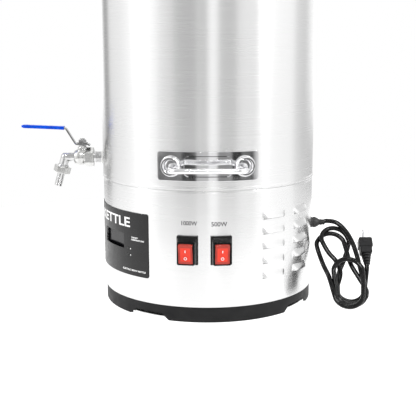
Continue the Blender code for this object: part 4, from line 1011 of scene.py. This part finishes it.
for side, angle in (("front", 0), ("rear", 180)):
    buildHandlePlate(side, angle)
    buildBar(side, angle)
print("handles done")

# ---- tap ----
# On the tap's frame Z runs out along the flow and X points up. On the stem's frame Z points up.
tapShape = {
    "level": 0.2004, "start": 0.0141, "length": 0.0284,
    "radius": 0.0122, "hexFlats": 0.0245, "hexLong": 0.0125,
    "stem": 0.0305, "bonnetTop": 0.0150, "leverThick": 0.0020, "leverWide": 0.0092, "leverRise": 0.0235,
    "leverSlope": 59, "leverFront": 0.0095, "leverTail": 0.0092, "gripLong": 0.062, "gripTilt": 2.5,
    "spoutRadius": 0.0064, "spoutCorner": 0.0559, "spoutTilt": 16,
}
tapPlace = Matrix.Translation((-wallRadius, 0, tapShape["level"])) @ Matrix.Rotation(-math.pi / 2, 4, "Y")
stemPlace = Matrix.Translation((-wallRadius - tapShape["stem"], 0, tapShape["level"]))


def buildNipple():
    bm = bmesh.new()
    profile = [(0.0055, -0.017, 0.0003), (0.0084, -0.017, 0.0006)]
    for i in range(5):  # the last turns of thread show beside the wall
        level = 0.0042 + 0.0014 * i
        profile += [
            (0.0084, level - 0.0004, 0.0001), (0.0079, level, 0.0001), (0.0084, level + 0.0004, 0.0001)
        ]
    profile += [(0.0084, tapShape["start"] + 0.002, 0), (0.0055, tapShape["start"] + 0.002, 0)]
    turned(bm, profile, tapPlace, 64, closed=True)
    piece("tapNipple", bm, turnedSteel, slot="brushed_steel", replaced=("tap_nipple",))
    bm = bmesh.new()
    washer = [
        (0.0085, 0.0003, 0), (0.0085, 0.0022, 0.0002), (0.0098, 0.0022, 0.0005), (0.0098, 0.0003, 0.0003)
    ]
    turned(bm, washer, tapPlace, 64, closed=True)
    piece("tapWasher", bm, paleSilicone, slot="silicone", replaced=("tap_seal_outer",))


def buildValveBody():
    s = tapShape
    start, end, radius = s["start"], s["start"] + s["length"], s["radius"]
    bm = bmesh.new()
    hexNut(bm, s["hexFlats"], start, start + s["hexLong"], tapPlace, chamfer=0.0009, spin=math.pi / 6)
    belly = [
        (0, start + 0.004, 0), (radius - 0.0014, start + 0.004, 0),
        (radius - 0.0014, start + s["hexLong"] + 0.0006, 0.0012),
        (radius + 0.0001, start + s["hexLong"] + 0.0040, 0.0030), (radius + 0.0001, end - 0.0052, 0.0028),
        (radius - 0.0026, end - 0.0004, 0.0016), (radius - 0.0040, end, 0.0005),
        (s["spoutRadius"] + 0.0004, end, 0.0002),
        (s["spoutRadius"] + 0.0004, end - 0.0012, 0), (0, end - 0.0012, 0),
    ]
    turned(bm, belly, tapPlace, 64)
    mouth = [(0, start + 0.0006, 0), (0.0102, start + 0.0006, 0.0002), (0.0104, start - 0.0003, 0.0003),
             (0.0090, start - 0.0003, 0.0003), (0.0088, start + 0.0005, 0), (0, start + 0.0005, 0)]
    turned(bm, mouth, tapPlace, 48)
    top = s["bonnetTop"]
    tower = [(0, 0.004, 0), (0.0094, 0.006, 0), (0.0092, 0.0104, 0.0016), (0.0070, 0.0120, 0.0012),
             (0.0069, top, 0.0006), (0.0046, top, 0.0002), (0.0046, top - 0.001, 0), (0, top - 0.001, 0)]
    turned(bm, tower, stemPlace, 48)
    pad = stemPlace @ Matrix.Translation((0, 0, 0.0118)) @ Matrix.Rotation(math.pi / 2, 4, "X")
    boss = [
        (0, 0.0094, 0), (0.0036, 0.0094, 0.0004), (0.0046, 0.0086, 0.0005), (0.0048, 0.002, 0), (0, 0.002, 0)
    ]
    turned(bm, boss, pad, 40)
    turned(bm, [(0, 0.0096, 0), (0.0016, 0.0096, 0.0003), (0.0019, 0.0090, 0), (0, 0.0090, 0)], pad, 24)
    piece("valveBody", bm, roughSteel, slot="brushed_steel", replaced=("valve_body",))


def buildStemParts():
    s = tapShape
    low = s["bonnetTop"] + 0.0003
    bm = bmesh.new()
    hexNut(bm, 0.0104, low, low + 0.0022, stemPlace, chamfer=0.0004)
    piece("packingNut", bm, turnedSteel, slot="brushed_steel", replaced=("packing_nut",))
    plateTop = low + 0.0022 + 0.0003 + s["leverThick"]
    nutHigh = plateTop + 0.0003 + 0.0052
    bm = bmesh.new()
    hexNut(bm, 0.0108, plateTop + 0.0003, nutHigh, stemPlace, chamfer=0.0007, spin=0.2)
    turned(bm, [
        (0, nutHigh + 0.0003, 0), (0.0044, nutHigh + 0.0003, 0.0003),
        (0.0047, nutHigh - 0.0003, 0), (0, nutHigh - 0.0003, 0)
    ],
           stemPlace, 32)
    turned(bm, [
        (0, plateTop + 0.0006, 0), (0.0062, plateTop + 0.0006, 0.0002),
        (0.0062, plateTop + 0.0001, 0.0001), (0, plateTop + 0.0001, 0)
    ],
           stemPlace, 40)
    old = set(bm.verts)  # the serrated edge of the locking washer
    teeth, reach = 28, 0.0078
    disc = bmesh.ops.create_cone(
        bm, cap_ends=True, segments=teeth, radius1=reach, radius2=reach, depth=0.0009
    )["verts"]
    for vert in disc:
        turn = round(math.degrees(math.atan2(vert.co.y, vert.co.x)) / (360 / teeth))
        if turn % 2:
            vert.co.x *= 0.85
            vert.co.y *= 0.85
            vert.co.z += 0.0005
    moveNew(bm, old, stemPlace @ Matrix.Translation((0, 0, plateTop + 0.0009)), 0)
    # the nut's steel is darkened as painted shade
    piece("leverNut", bm, shadeDarkenedSteel, "tap_lever", "brushed_steel", ("lever_nut",))
    stem = [(0, 0.0068, 0), (0.0034, 0.0068, 0.0002)]
    for i in range(5):  # thread above the lever
        level = plateTop + 0.0050 + 0.0006 * i
        stem += [(0.0034, level - 0.00018, 0), (0.0031, level, 0), (0.0034, level + 0.00018, 0)]
    top = nutHigh + 0.0022
    stem += [(0.0034, top - 0.0005, 0.0001), (0.0029, top, 0.0002), (0, top, 0)]
    bm = bmesh.new()
    turned(bm, stem, stemPlace, 40)
    piece("valveStem", bm, turnedSteel, "tap_lever", "brushed_steel", ("valve_stem",))
    return low + 0.0022 + 0.0003


def buildLever(low):
    s = tapShape
    slope, tilt = math.radians(s["leverSlope"]), math.radians(s["gripTilt"])
    level = low + s["leverThick"] / 2
    bendX = -s["leverFront"] - s["leverRise"] / math.sin(slope) * math.cos(slope)
    bendZ = level + s["leverRise"]
    ends = [
        (s["leverTail"] + 0.0016, level - 0.0022, 0),
        (s["leverTail"], level, 0.0010), (-s["leverFront"], level, 0.0030),
        (bendX, bendZ, 0.0032),
        (
            bendX - (s["gripLong"] - 0.002) * math.cos(tilt),
            bendZ + (s["gripLong"] - 0.002) * math.sin(tilt), 0
        ),
    ]
    path = softCorners(ends, closed=False)
    bm = bmesh.new()
    half = s["leverWide"] / 2
    row = [bm.verts.new((p.x, -half, p.y)) for p in path]
    edges = [bm.edges.new(pair) for pair in zip(row, row[1:])]
    swept = bmesh.ops.extrude_edge_only(bm, edges=edges)["geom"]
    moved = [item for item in swept if isinstance(item, bmesh.types.BMVert)]
    bmesh.ops.translate(bm, vec=(0, s["leverWide"], 0), verts=moved)
    for vert in bm.verts:  # the strip is widest round the stem and narrows up the slope
        if vert.co.x > -s["leverFront"] * 1.05:
            vert.co.y *= 1.12
        elif vert.co.x > bendX:
            vert.co.y *= 0.86
    bmesh.ops.recalc_face_normals(bm, faces=bm.faces)
    bmesh.ops.transform(bm, matrix=stemPlace, verts=bm.verts)
    # the arm's steel is darkened as painted shade
    arm = piece("leverArm", bm, shadeDarkenedSteel, "tap_lever", "polished_steel", ("lever_arm",))
    sheet = arm.modifiers.new("sheet", "SOLIDIFY")
    sheet.thickness = s["leverThick"] * 1.15
    sheet.offset = 0
    sheet.use_even_offset = True
    edge = arm.modifiers.new("edge", "BEVEL")
    edge.width = 0.0003
    edge.segments = 2
    edge.limit_method = "ANGLE"
    applied(arm)
    hold = stemPlace @ Matrix.Translation((bendX, 0, bendZ)) @ Matrix.Rotation(tilt, 4, "Y")
    bm = bmesh.new()
    old = set(bm.verts)
    verts = bmesh.ops.create_cube(bm, size=1)["verts"]
    bmesh.ops.scale(bm, vec=(s["gripLong"], 0.0112, 0.0050), verts=verts)
    long = [e for e in bm.edges if abs(e.verts[0].co.x - e.verts[1].co.x) > 0.01]
    bmesh.ops.bevel(bm, geom=long, offset=0.0023, segments=5, profile=0.5, affect="EDGES", material=-1)
    for x in [s["gripLong"] * (i / 20 - 0.5) for i in range(1, 20)]:
        bmesh.ops.bisect_plane(
            bm, geom=[*bm.verts, *bm.edges, *bm.faces], dist=1e-7, plane_co=(x, 0, 0), plane_no=(1, 0, 0)
        )
    tip, hilt = -s["gripLong"] / 2, s["gripLong"] / 2
    for vert in bm.verts:  # round tip, small lip at the hilt, a slight waist
        x = vert.co.x
        toTip = max(0.0, 1 - (x - tip) / 0.006)
        lip = 0.12 * max(0.0, 1 - (hilt - x) / 0.004)
        scale = math.sqrt(max(0.02, 1 - toTip**2 * 0.9)) * (1 + lip) * (1 - 0.05 * math.cos(x / hilt * 1.4))
        vert.co.y *= scale
        vert.co.z *= 1 - (1 - scale) * 0.6
    bmesh.ops.translate(bm, vec=(-s["gripLong"] / 2 - 0.002, 0, 0), verts=bm.verts)
    moveNew(bm, old, hold, 0)
    rims = [e for e in bm.edges if e.is_manifold and e.calc_face_angle() > 0.9]
    bmesh.ops.bevel(bm, geom=rims, offset=0.0005, segments=3, profile=0.5, affect="EDGES", material=-1)
    piece("leverSleeve", bm, blueVinyl, "tap_lever", "blue_vinyl", ("lever_sleeve",), sharp=60)


def buildSpout():
    s = tapShape
    corner = Vector((-wallRadius - s["spoutCorner"], 0, s["level"]))
    tilt = math.radians(s["spoutTilt"])
    down = Vector((-math.sin(tilt), 0, -math.cos(tilt)))
    start = Vector((-wallRadius - s["start"] - s["length"] + 0.0015, 0, s["level"]))
    radius = s["spoutRadius"] + 0.0003
    bm = bmesh.new()
    # two legs and a ball at their corner make the square elbow
    addTube(bm, smoothRoute([start, (start + corner) / 2, corner], 3), radius, 8)
    addTube(bm, smoothRoute([corner, corner + down * 0.008, corner + down * 0.0165], 3), radius, 8)
    old = set(bm.verts)
    bmesh.ops.create_uvsphere(bm, u_segments=40, v_segments=24, radius=radius + 0.0001)
    moveNew(bm, old, Matrix.Translation(corner), 0)
    leg = Matrix.Translation(corner) @ Matrix.Rotation(math.pi + tilt, 4, "Y")
    turned(
        bm, [(0, 0.0108, 0), (0.0072, 0.0108, 0.0004), (0.0082, 0.0140, 0.0006), (0, 0.0140, 0)], leg, 48
    )
    piece("spoutElbow", bm, turnedSteel, slot="brushed_steel", replaced=("spout_elbow",))
    bm = bmesh.new()
    hexNut(bm, 0.0215, 0.0135, 0.0233, leg, chamfer=0.0009, spin=math.pi / 6)
    turned(bm, [(0, 0.0130, 0), (0.0094, 0.0130, 0.0004), (0.0098, 0.0140, 0), (0, 0.0140, 0)], leg, 48)
    piece("unionNut", bm, roughSteel, slot="brushed_steel", replaced=("union_nut",))
    low, end = 0.0205, 0.0438
    tail = [(0, low, 0), (0.0063, low, 0), (0.0063, 0.0240, 0.0004), (0.0056, 0.0246, 0.0003)]
    for i in range(3):
        foot = end - 0.0150 + 0.0050 * i
        tail += [(0.0056, foot, 0.0003), (0.0051, foot + 0.0004, 0.0002), (0.0056, foot + 0.0010, 0.0003)]
    tail += [(0.0055, end, 0.0006), (0.0037, end, 0.0003), (0.0036, end - 0.012, 0), (0, end - 0.012, 0)]
    bm = bmesh.new()
    turned(bm, tail, leg, 48)
    piece("hoseTail", bm, turnedSteel, slot="brushed_steel", replaced=("hose_tail",))


buildNipple()
buildValveBody()
buildLever(buildStemParts())
buildSpout()
print("tap done")

# ---- rocker switches ----
switchShape = {
    "angles": {"1000w": -10.3, "500w": 6.5}, "level": 0.0965,
    "wide": 0.0284, "tall": 0.0385, "flange": 0.0018,
    "reach": 0.012, "mouthWide": 0.0236, "mouthTall": 0.0308, "drop": 0.0022, "throw": 9.0,
    "rockerWide": 0.0188, "rockerRadius": 0.0134, "proud": 0.0028, "pivot": 0.0015,
}


def buildHousing(name, angle):
    # here Z points out of the wall and Y points up
    s = switchShape
    place = facingOut(angle, wallRadius + 0.0003, s["level"])
    bm = bmesh.new()
    roundedBlock(bm, (s["wide"], s["tall"], s["flange"]), (0, 0, s["flange"] / 2), 0.0006, 3, place)
    old = set(bm.verts)
    high = s["reach"] - 0.0003
    for corner in bmesh.ops.create_cube(bm, size=1)["verts"]:
        front = corner.co.z > 0
        corner.co.x *= s["mouthWide"] if front else s["wide"] - 0.0016
        corner.co.y *= s["mouthTall"] if front else s["tall"] - 0.0016
        corner.co.y -= s["drop"] if front else 0
        corner.co.z = high if front else s["flange"] * 0.5
    slopes = [
        e for v in newSince(bm, old) for e in v.link_edges if abs(e.verts[0].co.z - e.verts[1].co.z) > 0.002
    ]
    bmesh.ops.bevel(
        bm, geom=list(set(slopes)), offset=0.0022, segments=5, profile=0.5, affect="EDGES", material=-1
    )
    mouth = max(facesOf(newSince(bm, old)), key=lambda face: face.calc_center_median().z)
    # a step runs round the collar just behind its rim
    bmesh.ops.inset_region(bm, faces=[mouth], thickness=0.0006, depth=-0.0004, use_even_offset=True)
    bmesh.ops.inset_region(bm, faces=[mouth], thickness=0.0003, depth=0.0009, use_even_offset=True)
    rimWide = (s["mouthWide"] - s["rockerWide"]) / 2 - 0.0012
    bmesh.ops.inset_region(bm, faces=[mouth], thickness=rimWide, depth=0, use_even_offset=True)
    swept = bmesh.ops.extrude_face_region(bm, geom=[mouth])["geom"]
    deep = [item for item in swept if isinstance(item, bmesh.types.BMVert)]
    bmesh.ops.translate(bm, vec=(0, 0, -0.0095), verts=deep)
    bmesh.ops.delete(bm, geom=[mouth], context="FACES")
    moveNew(bm, old, place, 0)
    for x, y in ((0, 0.0132), (0, 0.0152)):  # two mould lines across the sloping top
        roundedBlock(
            bm, (s["mouthWide"] * 0.78, 0.0005, 0.0006),
            (x, y + 0.0006, 0.0078 - (y - 0.0132) * 1.6), 0.0002, 2, place
        )
    size = (s["mouthWide"], s["mouthTall"], 0.0225)
    roundedBlock(bm, size, (0, 0, -0.0108), 0.001, 2, place)
    for x in (-0.006, 0.006):
        for y in (-0.008, 0.008):
            roundedBlock(bm, (0.0008, 0.0063, 0.011), (x, y, -0.0270), 0.0002, 1, place, 1)
    bmMaterials = [switchPlastic, turnedSteel]
    piece(
        "switchHousing" + name, bm, bmMaterials, slot="black_plastic",
        replaced=("switch_housing_" + name,), sharp=30
    )


def buildRocker(name, angle):
    # here X runs across, Z points up and -Y points out of the wall
    s = switchShape
    pivot = wallRadius + s["reach"] - s["pivot"]
    place = (
        wallTurn(angle) @ Matrix.Translation((0, -pivot, s["level"] - s["drop"]))
        @ Matrix.Rotation(math.radians(s["throw"]), 4, "X") @ Matrix.Rotation(math.pi / 2, 4, "X")
    )
    front = s["pivot"] + s["proud"]
    radius, half = s["rockerRadius"], s["rockerWide"] / 2
    wide = math.sqrt(radius**2 - front**2)
    edge = math.degrees(math.atan2(front, wide))
    outline = []
    for start, end in ((edge, -38), (218, 180 - edge)):
        for step in range(9):
            turn = math.radians(start + (end - start) * step / 8)
            outline.append((radius * math.cos(turn), radius * math.sin(turn)))
    for step in range(1, 8):  # the face dips a little towards its middle
        t = -1 + 2 * step / 8
        outline.append((wide * t, front - 0.0007 * (1 - t * t)))
    bm = bmesh.new()
    old = set(bm.verts)
    # rows of points across the rocker; the rows at both sides are drawn in, which rounds its edges
    soft = 0.0010
    middle = sum(up for up, out in outline) / len(outline), front - 0.004
    rows = []
    for step in range(5):
        turn = math.pi / 2 * step / 4
        rows.append((-half + soft * (1 - math.sin(turn)), soft * (1 - math.cos(turn))))
    sections = rows + [(-half + w, 0) for w in (0.0024, 0.0027)]
    sections += [(-x, inset) for x, inset in reversed(sections)]
    loops = []
    for x, inset in sections:
        loop = []
        for up, out in outline:
            away = Vector((up - middle[0], out - middle[1]))
            drawn = away.normalized() * min(inset, away.length * 0.5)
            loop.append(bm.verts.new((x, up - drawn.x, out - drawn.y)))
        loops.append(loop)
    for one, two in zip(loops, loops[1:]):
        for i in range(len(one)):
            j = (i + 1) % len(one)
            bm.faces.new((one[i], one[j], two[j], two[i]))
    bm.faces.new(loops[0])
    bm.faces.new(loops[-1])
    moveNew(bm, old, None, 0)
    inner = roundedBlock(
        bm, (2 * half - 0.0050, 2 * wide - 0.0056, 0.0016), (0, 0, front - 0.0008), 0.0006, 3, None, 1
    )
    for vert in inner:  # it follows the dip of the face
        vert.co.z -= 0.0006 * (1 - (vert.co.y / wide) ** 2)
    roundedBlock(bm, (0.0011, 0.0033, 0.0004), (0, 0.0046, front + 0.0001), 0.00012, 2, None, 2)
    ringProfile = [
        (0.0014, -0.0002, 0), (0.0014, 0.0002, 0.0001), (0.0021, 0.0002, 0.0001), (0.0021, -0.0002, 0)
    ]
    turned(bm, ringProfile, Matrix.Translation((0, -0.0052, front + 0.0001)), 32, closed=True, index=2)
    bmesh.ops.transform(bm, matrix=place, verts=bm.verts)
    piece(
        "rocker" + name, bm, [rockerEdge, rockerFace, whitePrint],
        "rocker_" + name, "red_rocker", ("rocker_" + name,), 35
    )


for name, angle in switchShape["angles"].items():
    buildHousing(name, angle)
    buildRocker(name, angle)
wallText("print1000", "1000W", -9.35, 0.1326, 0.0208, 0.0058, skirtRadius + 0.00002, darkPrint, None, 0.01)
wallText("print500", "500W", 5.55, 0.1316, 0.0208, 0.0058, skirtRadius + 0.00002, darkPrint, None, 0.01)
print("switches done")

# ---- control panel ----
panelShape = {
    "angle": -60, "wide": 0.150, "tall": 0.088, "thick": 0.0008, "level": 0.0962, "corner": 0.003,
    "windowWide": 0.058, "windowTall": 0.021, "windowLevel": 0.0984,
    "keySide": 0.0375, "keyLevels": (0.0892, 0.0805),
}


def buildPanel():
    s = panelShape
    bm = bmesh.new()
    plate(
        bm, s["wide"], s["tall"], s["corner"], s["thick"],
        s["angle"], s["level"], skirtRadius + 0.0003, 0.0003
    )
    panel = piece("controlPanel", bm, panelFilm, slot="panel_film", replaced=("control_panel",))
    cutter = bmesh.new()
    turn = wallTurn(s["angle"])
    roundedBlock(
        cutter, (s["windowWide"], 0.02, s["windowTall"]),
        (0, -skirtRadius, s["windowLevel"]), 0.0012, 3, turn
    )
    for level in s["keyLevels"]:
        angle = s["angle"] + math.degrees(s["keySide"] / skirtRadius)
        turned(cutter, [(0, 0.01, 0), (0.0027, 0.01, 0), (0.0027, -0.01, 0), (0, -0.01, 0)],
               facingOut(angle, skirtRadius, level), 32)
    carve(panel, cutter)
    bm = bmesh.new()
    half = s["windowWide"] / 2 + 0.002
    depth = math.sqrt((skirtRadius - 0.001) ** 2 - half**2) - 0.0006
    roundedBlock(
        bm, (2 * half, 0.0016, s["windowTall"] + 0.004),
        (0, -depth + 0.0008, s["windowLevel"]), 0.0003, 2, turn
    )
    piece("windowLens", bm, windowLens, slot="window_lens", replaced=("display_window",))


def buildKeys():
    s = panelShape
    angle = s["angle"] + math.degrees(s["keySide"] / skirtRadius)
    outer = skirtRadius + 0.0003 + s["thick"]
    for name, level, point in (("up", s["keyLevels"][0], 1), ("down", s["keyLevels"][1], -1)):
        bm = bmesh.new()
        place = facingOut(angle, outer, level)
        cap = [(0, 0.0006, 0), (0.0018, 0.0006, 0.0006), (0.0024, 0.0, 0.0004), (0.0024, -0.0032, 0),
               (0.0036, -0.0036, 0.0003), (0.0036, -0.0055, 0.0003), (0, -0.0055, 0)]
        turned(bm, cap, place, 32)
        old = set(bm.verts)
        bmesh.ops.create_cone(bm, cap_ends=True, segments=3, radius1=0.0012, radius2=0.0011, depth=0.0003)
        spin = Matrix.Rotation(math.pi / 2 * point, 4, "Z")
        moveNew(bm, old, place @ Matrix.Translation((0, 0, 0.0006)) @ spin, 1)
        piece(
            "key" + name.title(), bm, [handlePlastic, darkPrint],
            "key_" + name, "key_rubber", ("key_" + name,)
        )


def wallMark(name, angle, level, wide, tall, material):
    bm = bmesh.new()
    corner = min(wide, tall) * 0.45
    radius = skirtRadius + 0.0003 + panelShape["thick"]
    plate(bm, wide, tall, corner, 0.00012, angle, level, radius, 0)
    piece(name, bm, material, slot="panel_film")


buildPanel()
buildKeys()
panelOut = skirtRadius + 0.0003 + panelShape["thick"]
wallText("panelTitle", "KETTLE", -60.4, 0.1256, 0.0885, 0.0132, panelOut, whitePrint, "panel_film", 0.018)
wallText("panelLineOne", "TARGET", -40.6, 0.1056, 0.0125, 0.0020, panelOut, whitePrint, "panel_film", 0.03)
wallText(
    "panelLineTwo", "TEMPERATURE", -38.7, 0.1024, 0.0235, 0.0020, panelOut, whitePrint, "panel_film", 0.03
)
for i, level in enumerate((0.0892, 0.0805)):
    wallMark(f"keyDot{i + 1}", -43.7, level, 0.0016, 0.0016, whitePrint)
wallText(
    "panelFoot", "ELECTRIC BREW KETTLE", -41.8, 0.0597,
    0.0445, 0.0023, panelOut, whitePrint, "panel_film", 0.03
)
wallText("panelNote", "220-240V", -80.0, 0.0655, 0.0145, 0.0020, panelOut, whitePrint, "panel_film", 0.01)
print("panel done")

# ---- pieces that keep their solids ----
keptFinishes = {
    "bottom_cover": bodySheet, "tap_locknut": turnedSteel, "tap_seal_inner": paleSilicone,
    "valve_ball": mirrorSteel, "valve_insert": turnedSteel, "valve_seat_inner": paleSilicone,
    "valve_seat_outer": paleSilicone, "stem_packing": paleSilicone, "union_seal": paleSilicone,
    "heat_plate": paleAluminium, "heating_element_1000w": turnedSteel, "heating_element_500w": turnedSteel,
    "element_clamp": turnedSteel, "clamp_nut": turnedSteel, "thermal_cutout": handlePlastic,
    "temperature_probe": turnedSteel, "control_board": boardMask, "display_module": handlePlastic,
    "heater_relay": relayPlastic, "terminal_block": plugPlastic, "inner_lead": cordSheath,
    "lid_screw_left": turnedSteel, "lid_screw_right": turnedSteel,
    "cover_screw_1": turnedSteel, "cover_screw_2": turnedSteel, "cover_screw_3": turnedSteel,
    "cover_screw_4": turnedSteel,
}


def dressKeptNodes():
    for name, material in keptFinishes.items():
        mesh = cadNodes[name].data
        mesh.materials.clear()
        mesh.materials.append(material)


dressKeptNodes()

# ---- studio ----
studio = {
    "strength": 1.4,
    # how bright the surroundings are, by the angle round the kettle from the front towards the lead
    "bands": (
        (-180, 1.25), (-148, 1.3), (-141, 0.45), (-131, 0.5),
        (-126, 1.1), (-105, 1.15), (-88, 1.35), (-56, 1.4),
        (-48, 1.15), (-37, 0.98), (-32, 0.72), (-12, 0.66),
        (-9.5, 0.9), (-7, 0.66), (-1, 0.64), (2, 1.3), (9, 1.25),
        (13, 0.7), (27, 0.74), (33, 1.15), (47, 1.2),
        (51, 0.98), (58, 1.0), (64, 1.4), (100, 1.3), (109, 0.95),
        (125, 0.85), (140, 1.2), (180, 1.25),
    ),
    # the same, just below the level of the kettle, where the room is darker
    "lowBands": (
        (-180, 0.9), (-140, 0.3), (-110, 0.9), (-60, 0.9), (-52, 0.16), (-46, 0.2), (-28, 0.2), (-26, 0.07),
        (-13, 0.07), (-11, 0.55), (0, 0.6), (1, 0.95),
        (9, 0.9), (11, 0.3), (24, 0.3), (26, 0.04), (34, 0.04),
        (36, 0.16), (44, 0.16), (47, 0.07), (53, 0.8), (100, 0.9), (140, 0.3), (180, 0.9),
    ),
    "lowFrom": -0.185,
    "lowTo": -0.1,
    "floorSize": 0.8,
}


def greyRamp(tree, source, stops):
    # greys from stops of (place, brightness)
    made = addNode(tree, "ShaderNodeValToRGB")
    elements = made.color_ramp.elements
    elements.remove(elements[1])
    for i, (place, bright) in enumerate(stops):
        element = elements[0] if i == 0 else elements.new(place)
        element.position = place
        element.color = (bright, bright, bright, 1)
    tree.links.new(source, made.inputs["Fac"])
    return made.outputs["Color"]


def mappedRange(tree, source, low, high):
    made = addNode(tree, "ShaderNodeMapRange")
    made.inputs["From Min"].default_value = low
    made.inputs["From Max"].default_value = high
    tree.links.new(source, made.inputs["Value"])
    return made.outputs["Result"]


def skyAngle(tree, split):
    # the direction round the kettle as a share of a full turn, with the front at one half
    flip = addNode(tree, "ShaderNodeMath", operation="MULTIPLY")
    flip.inputs[1].default_value = -1
    tree.links.new(split.outputs["Y"], flip.inputs[0])
    turn = addNode(tree, "ShaderNodeMath", operation="ARCTAN2")
    tree.links.new(split.outputs["X"], turn.inputs[0])
    tree.links.new(flip.outputs["Value"], turn.inputs[1])
    return mappedRange(tree, turn.outputs["Value"], -math.pi, math.pi)


def lowZone(tree, split):
    # one just below the level of the kettle and nought elsewhere
    low, high, fade = studio["lowFrom"], studio["lowTo"], 0.012
    bottom, top = -0.3, 0.1
    height = mappedRange(tree, split.outputs["Z"], bottom, top)
    levels = ((low - fade, 0), (low, 1), (high, 1), (high + fade, 0))
    return greyRamp(tree, height, [((level - bottom) / (top - bottom), amount) for level, amount in levels])


def buildWorld():
    world = bpy.data.worlds.new("studio")
    world.use_nodes = True
    scene.world = world
    tree = world.node_tree
    tree.nodes.clear()
    place = addNode(tree, "ShaderNodeTexCoord")
    split = addNode(tree, "ShaderNodeSeparateXYZ")
    tree.links.new(place.outputs["Generated"], split.inputs["Vector"])
    share = skyAngle(tree, split)
    blend = addNode(tree, "ShaderNodeMix", data_type="RGBA")
    tree.links.new(lowZone(tree, split), blend.inputs["Factor"])
    for bands, socket in (("bands", "A"), ("lowBands", "B")):
        stops = [((angle + 180) / 360, bright / studio["strength"]) for angle, bright in studio[bands]]
        tree.links.new(greyRamp(tree, share, stops), blend.inputs[socket])
    around = addNode(tree, "ShaderNodeBackground")
    around.inputs["Strength"].default_value = studio["strength"]
    tree.links.new(blend.outputs["Result"], around.inputs["Color"])
    backdrop = addNode(tree, "ShaderNodeBackground")
    backdrop.inputs["Strength"].default_value = 1.0
    backdrop.inputs["Color"].default_value = (1, 1, 1, 1)
    path = addNode(tree, "ShaderNodeLightPath")
    mix = addNode(tree, "ShaderNodeMixShader")
    tree.links.new(path.outputs["Is Camera Ray"], mix.inputs["Fac"])
    tree.links.new(around.outputs["Background"], mix.inputs[1])
    tree.links.new(backdrop.outputs["Background"], mix.inputs[2])
    out = addNode(tree, "ShaderNodeOutputWorld")
    tree.links.new(mix.outputs["Shader"], out.inputs["Surface"])


def buildFloor():
    bm = bmesh.new()
    bmesh.ops.create_circle(bm, cap_ends=True, segments=64, radius=studio["floorSize"])
    bmesh.ops.translate(bm, vec=(0, 0, floorLevel - 0.0001), verts=bm.verts)
    mesh = bpy.data.meshes.new("floor")
    bm.to_mesh(mesh)
    bm.free()
    floor = bpy.data.objects.new("floor", mesh)
    scene.collection.objects.link(floor)
    mesh.materials.append(
        newMaterial("pale floor", (0.3, 0.3, 0.3), 0.9, Emission_Color=(1, 1, 1, 1), Emission_Strength=1.05)
    )


def buildLamp(name, place, target, size, power):
    lamp = bpy.data.lights.new(name, "AREA")
    lamp.shape = "RECTANGLE"
    lamp.size, lamp.size_y = size
    lamp.energy = power
    made = bpy.data.objects.new(name, lamp)
    scene.collection.objects.link(made)
    made.location = place
    made.rotation_euler = (Vector(target) - Vector(place)).to_track_quat("-Z", "Y").to_euler()
    made.visible_camera = False


def lightDarkPieces():
    # only the lead and the switch housings see the broad soft box
    seen = bpy.data.collections.new("black pieces")
    for name in ("mainsLead", "switchHousing1000w", "switchHousing500w"):
        seen.objects.link(bpy.data.objects[name])
    lamp = bpy.data.objects["softBox"]
    lamp.light_linking.receiver_collection = seen


def buildStudio():
    buildWorld()
    buildFloor()
    buildLamp("softBox", (-0.55, -1.35, 1.25), (0.15, -0.05, 0.08), (0.28, 1.0), 22)
    lightDarkPieces()
    buildLamp("leftStrip", (-1.9, -0.5, 1.1), (0, 0, 0.15), (0.05, 0.8), 9)
    buildLamp("rightStrip", (1.6, -0.9, 1.2), (0.15, 0, 0.1), (0.05, 0.8), 9)
    buildLamp("topStrip", (0.15, -1.4, 1.9), (0.1, 0, 0.1), (0.8, 0.04), 8)
    scene.view_settings.view_transform = "Standard"


buildStudio()
print("studio done")
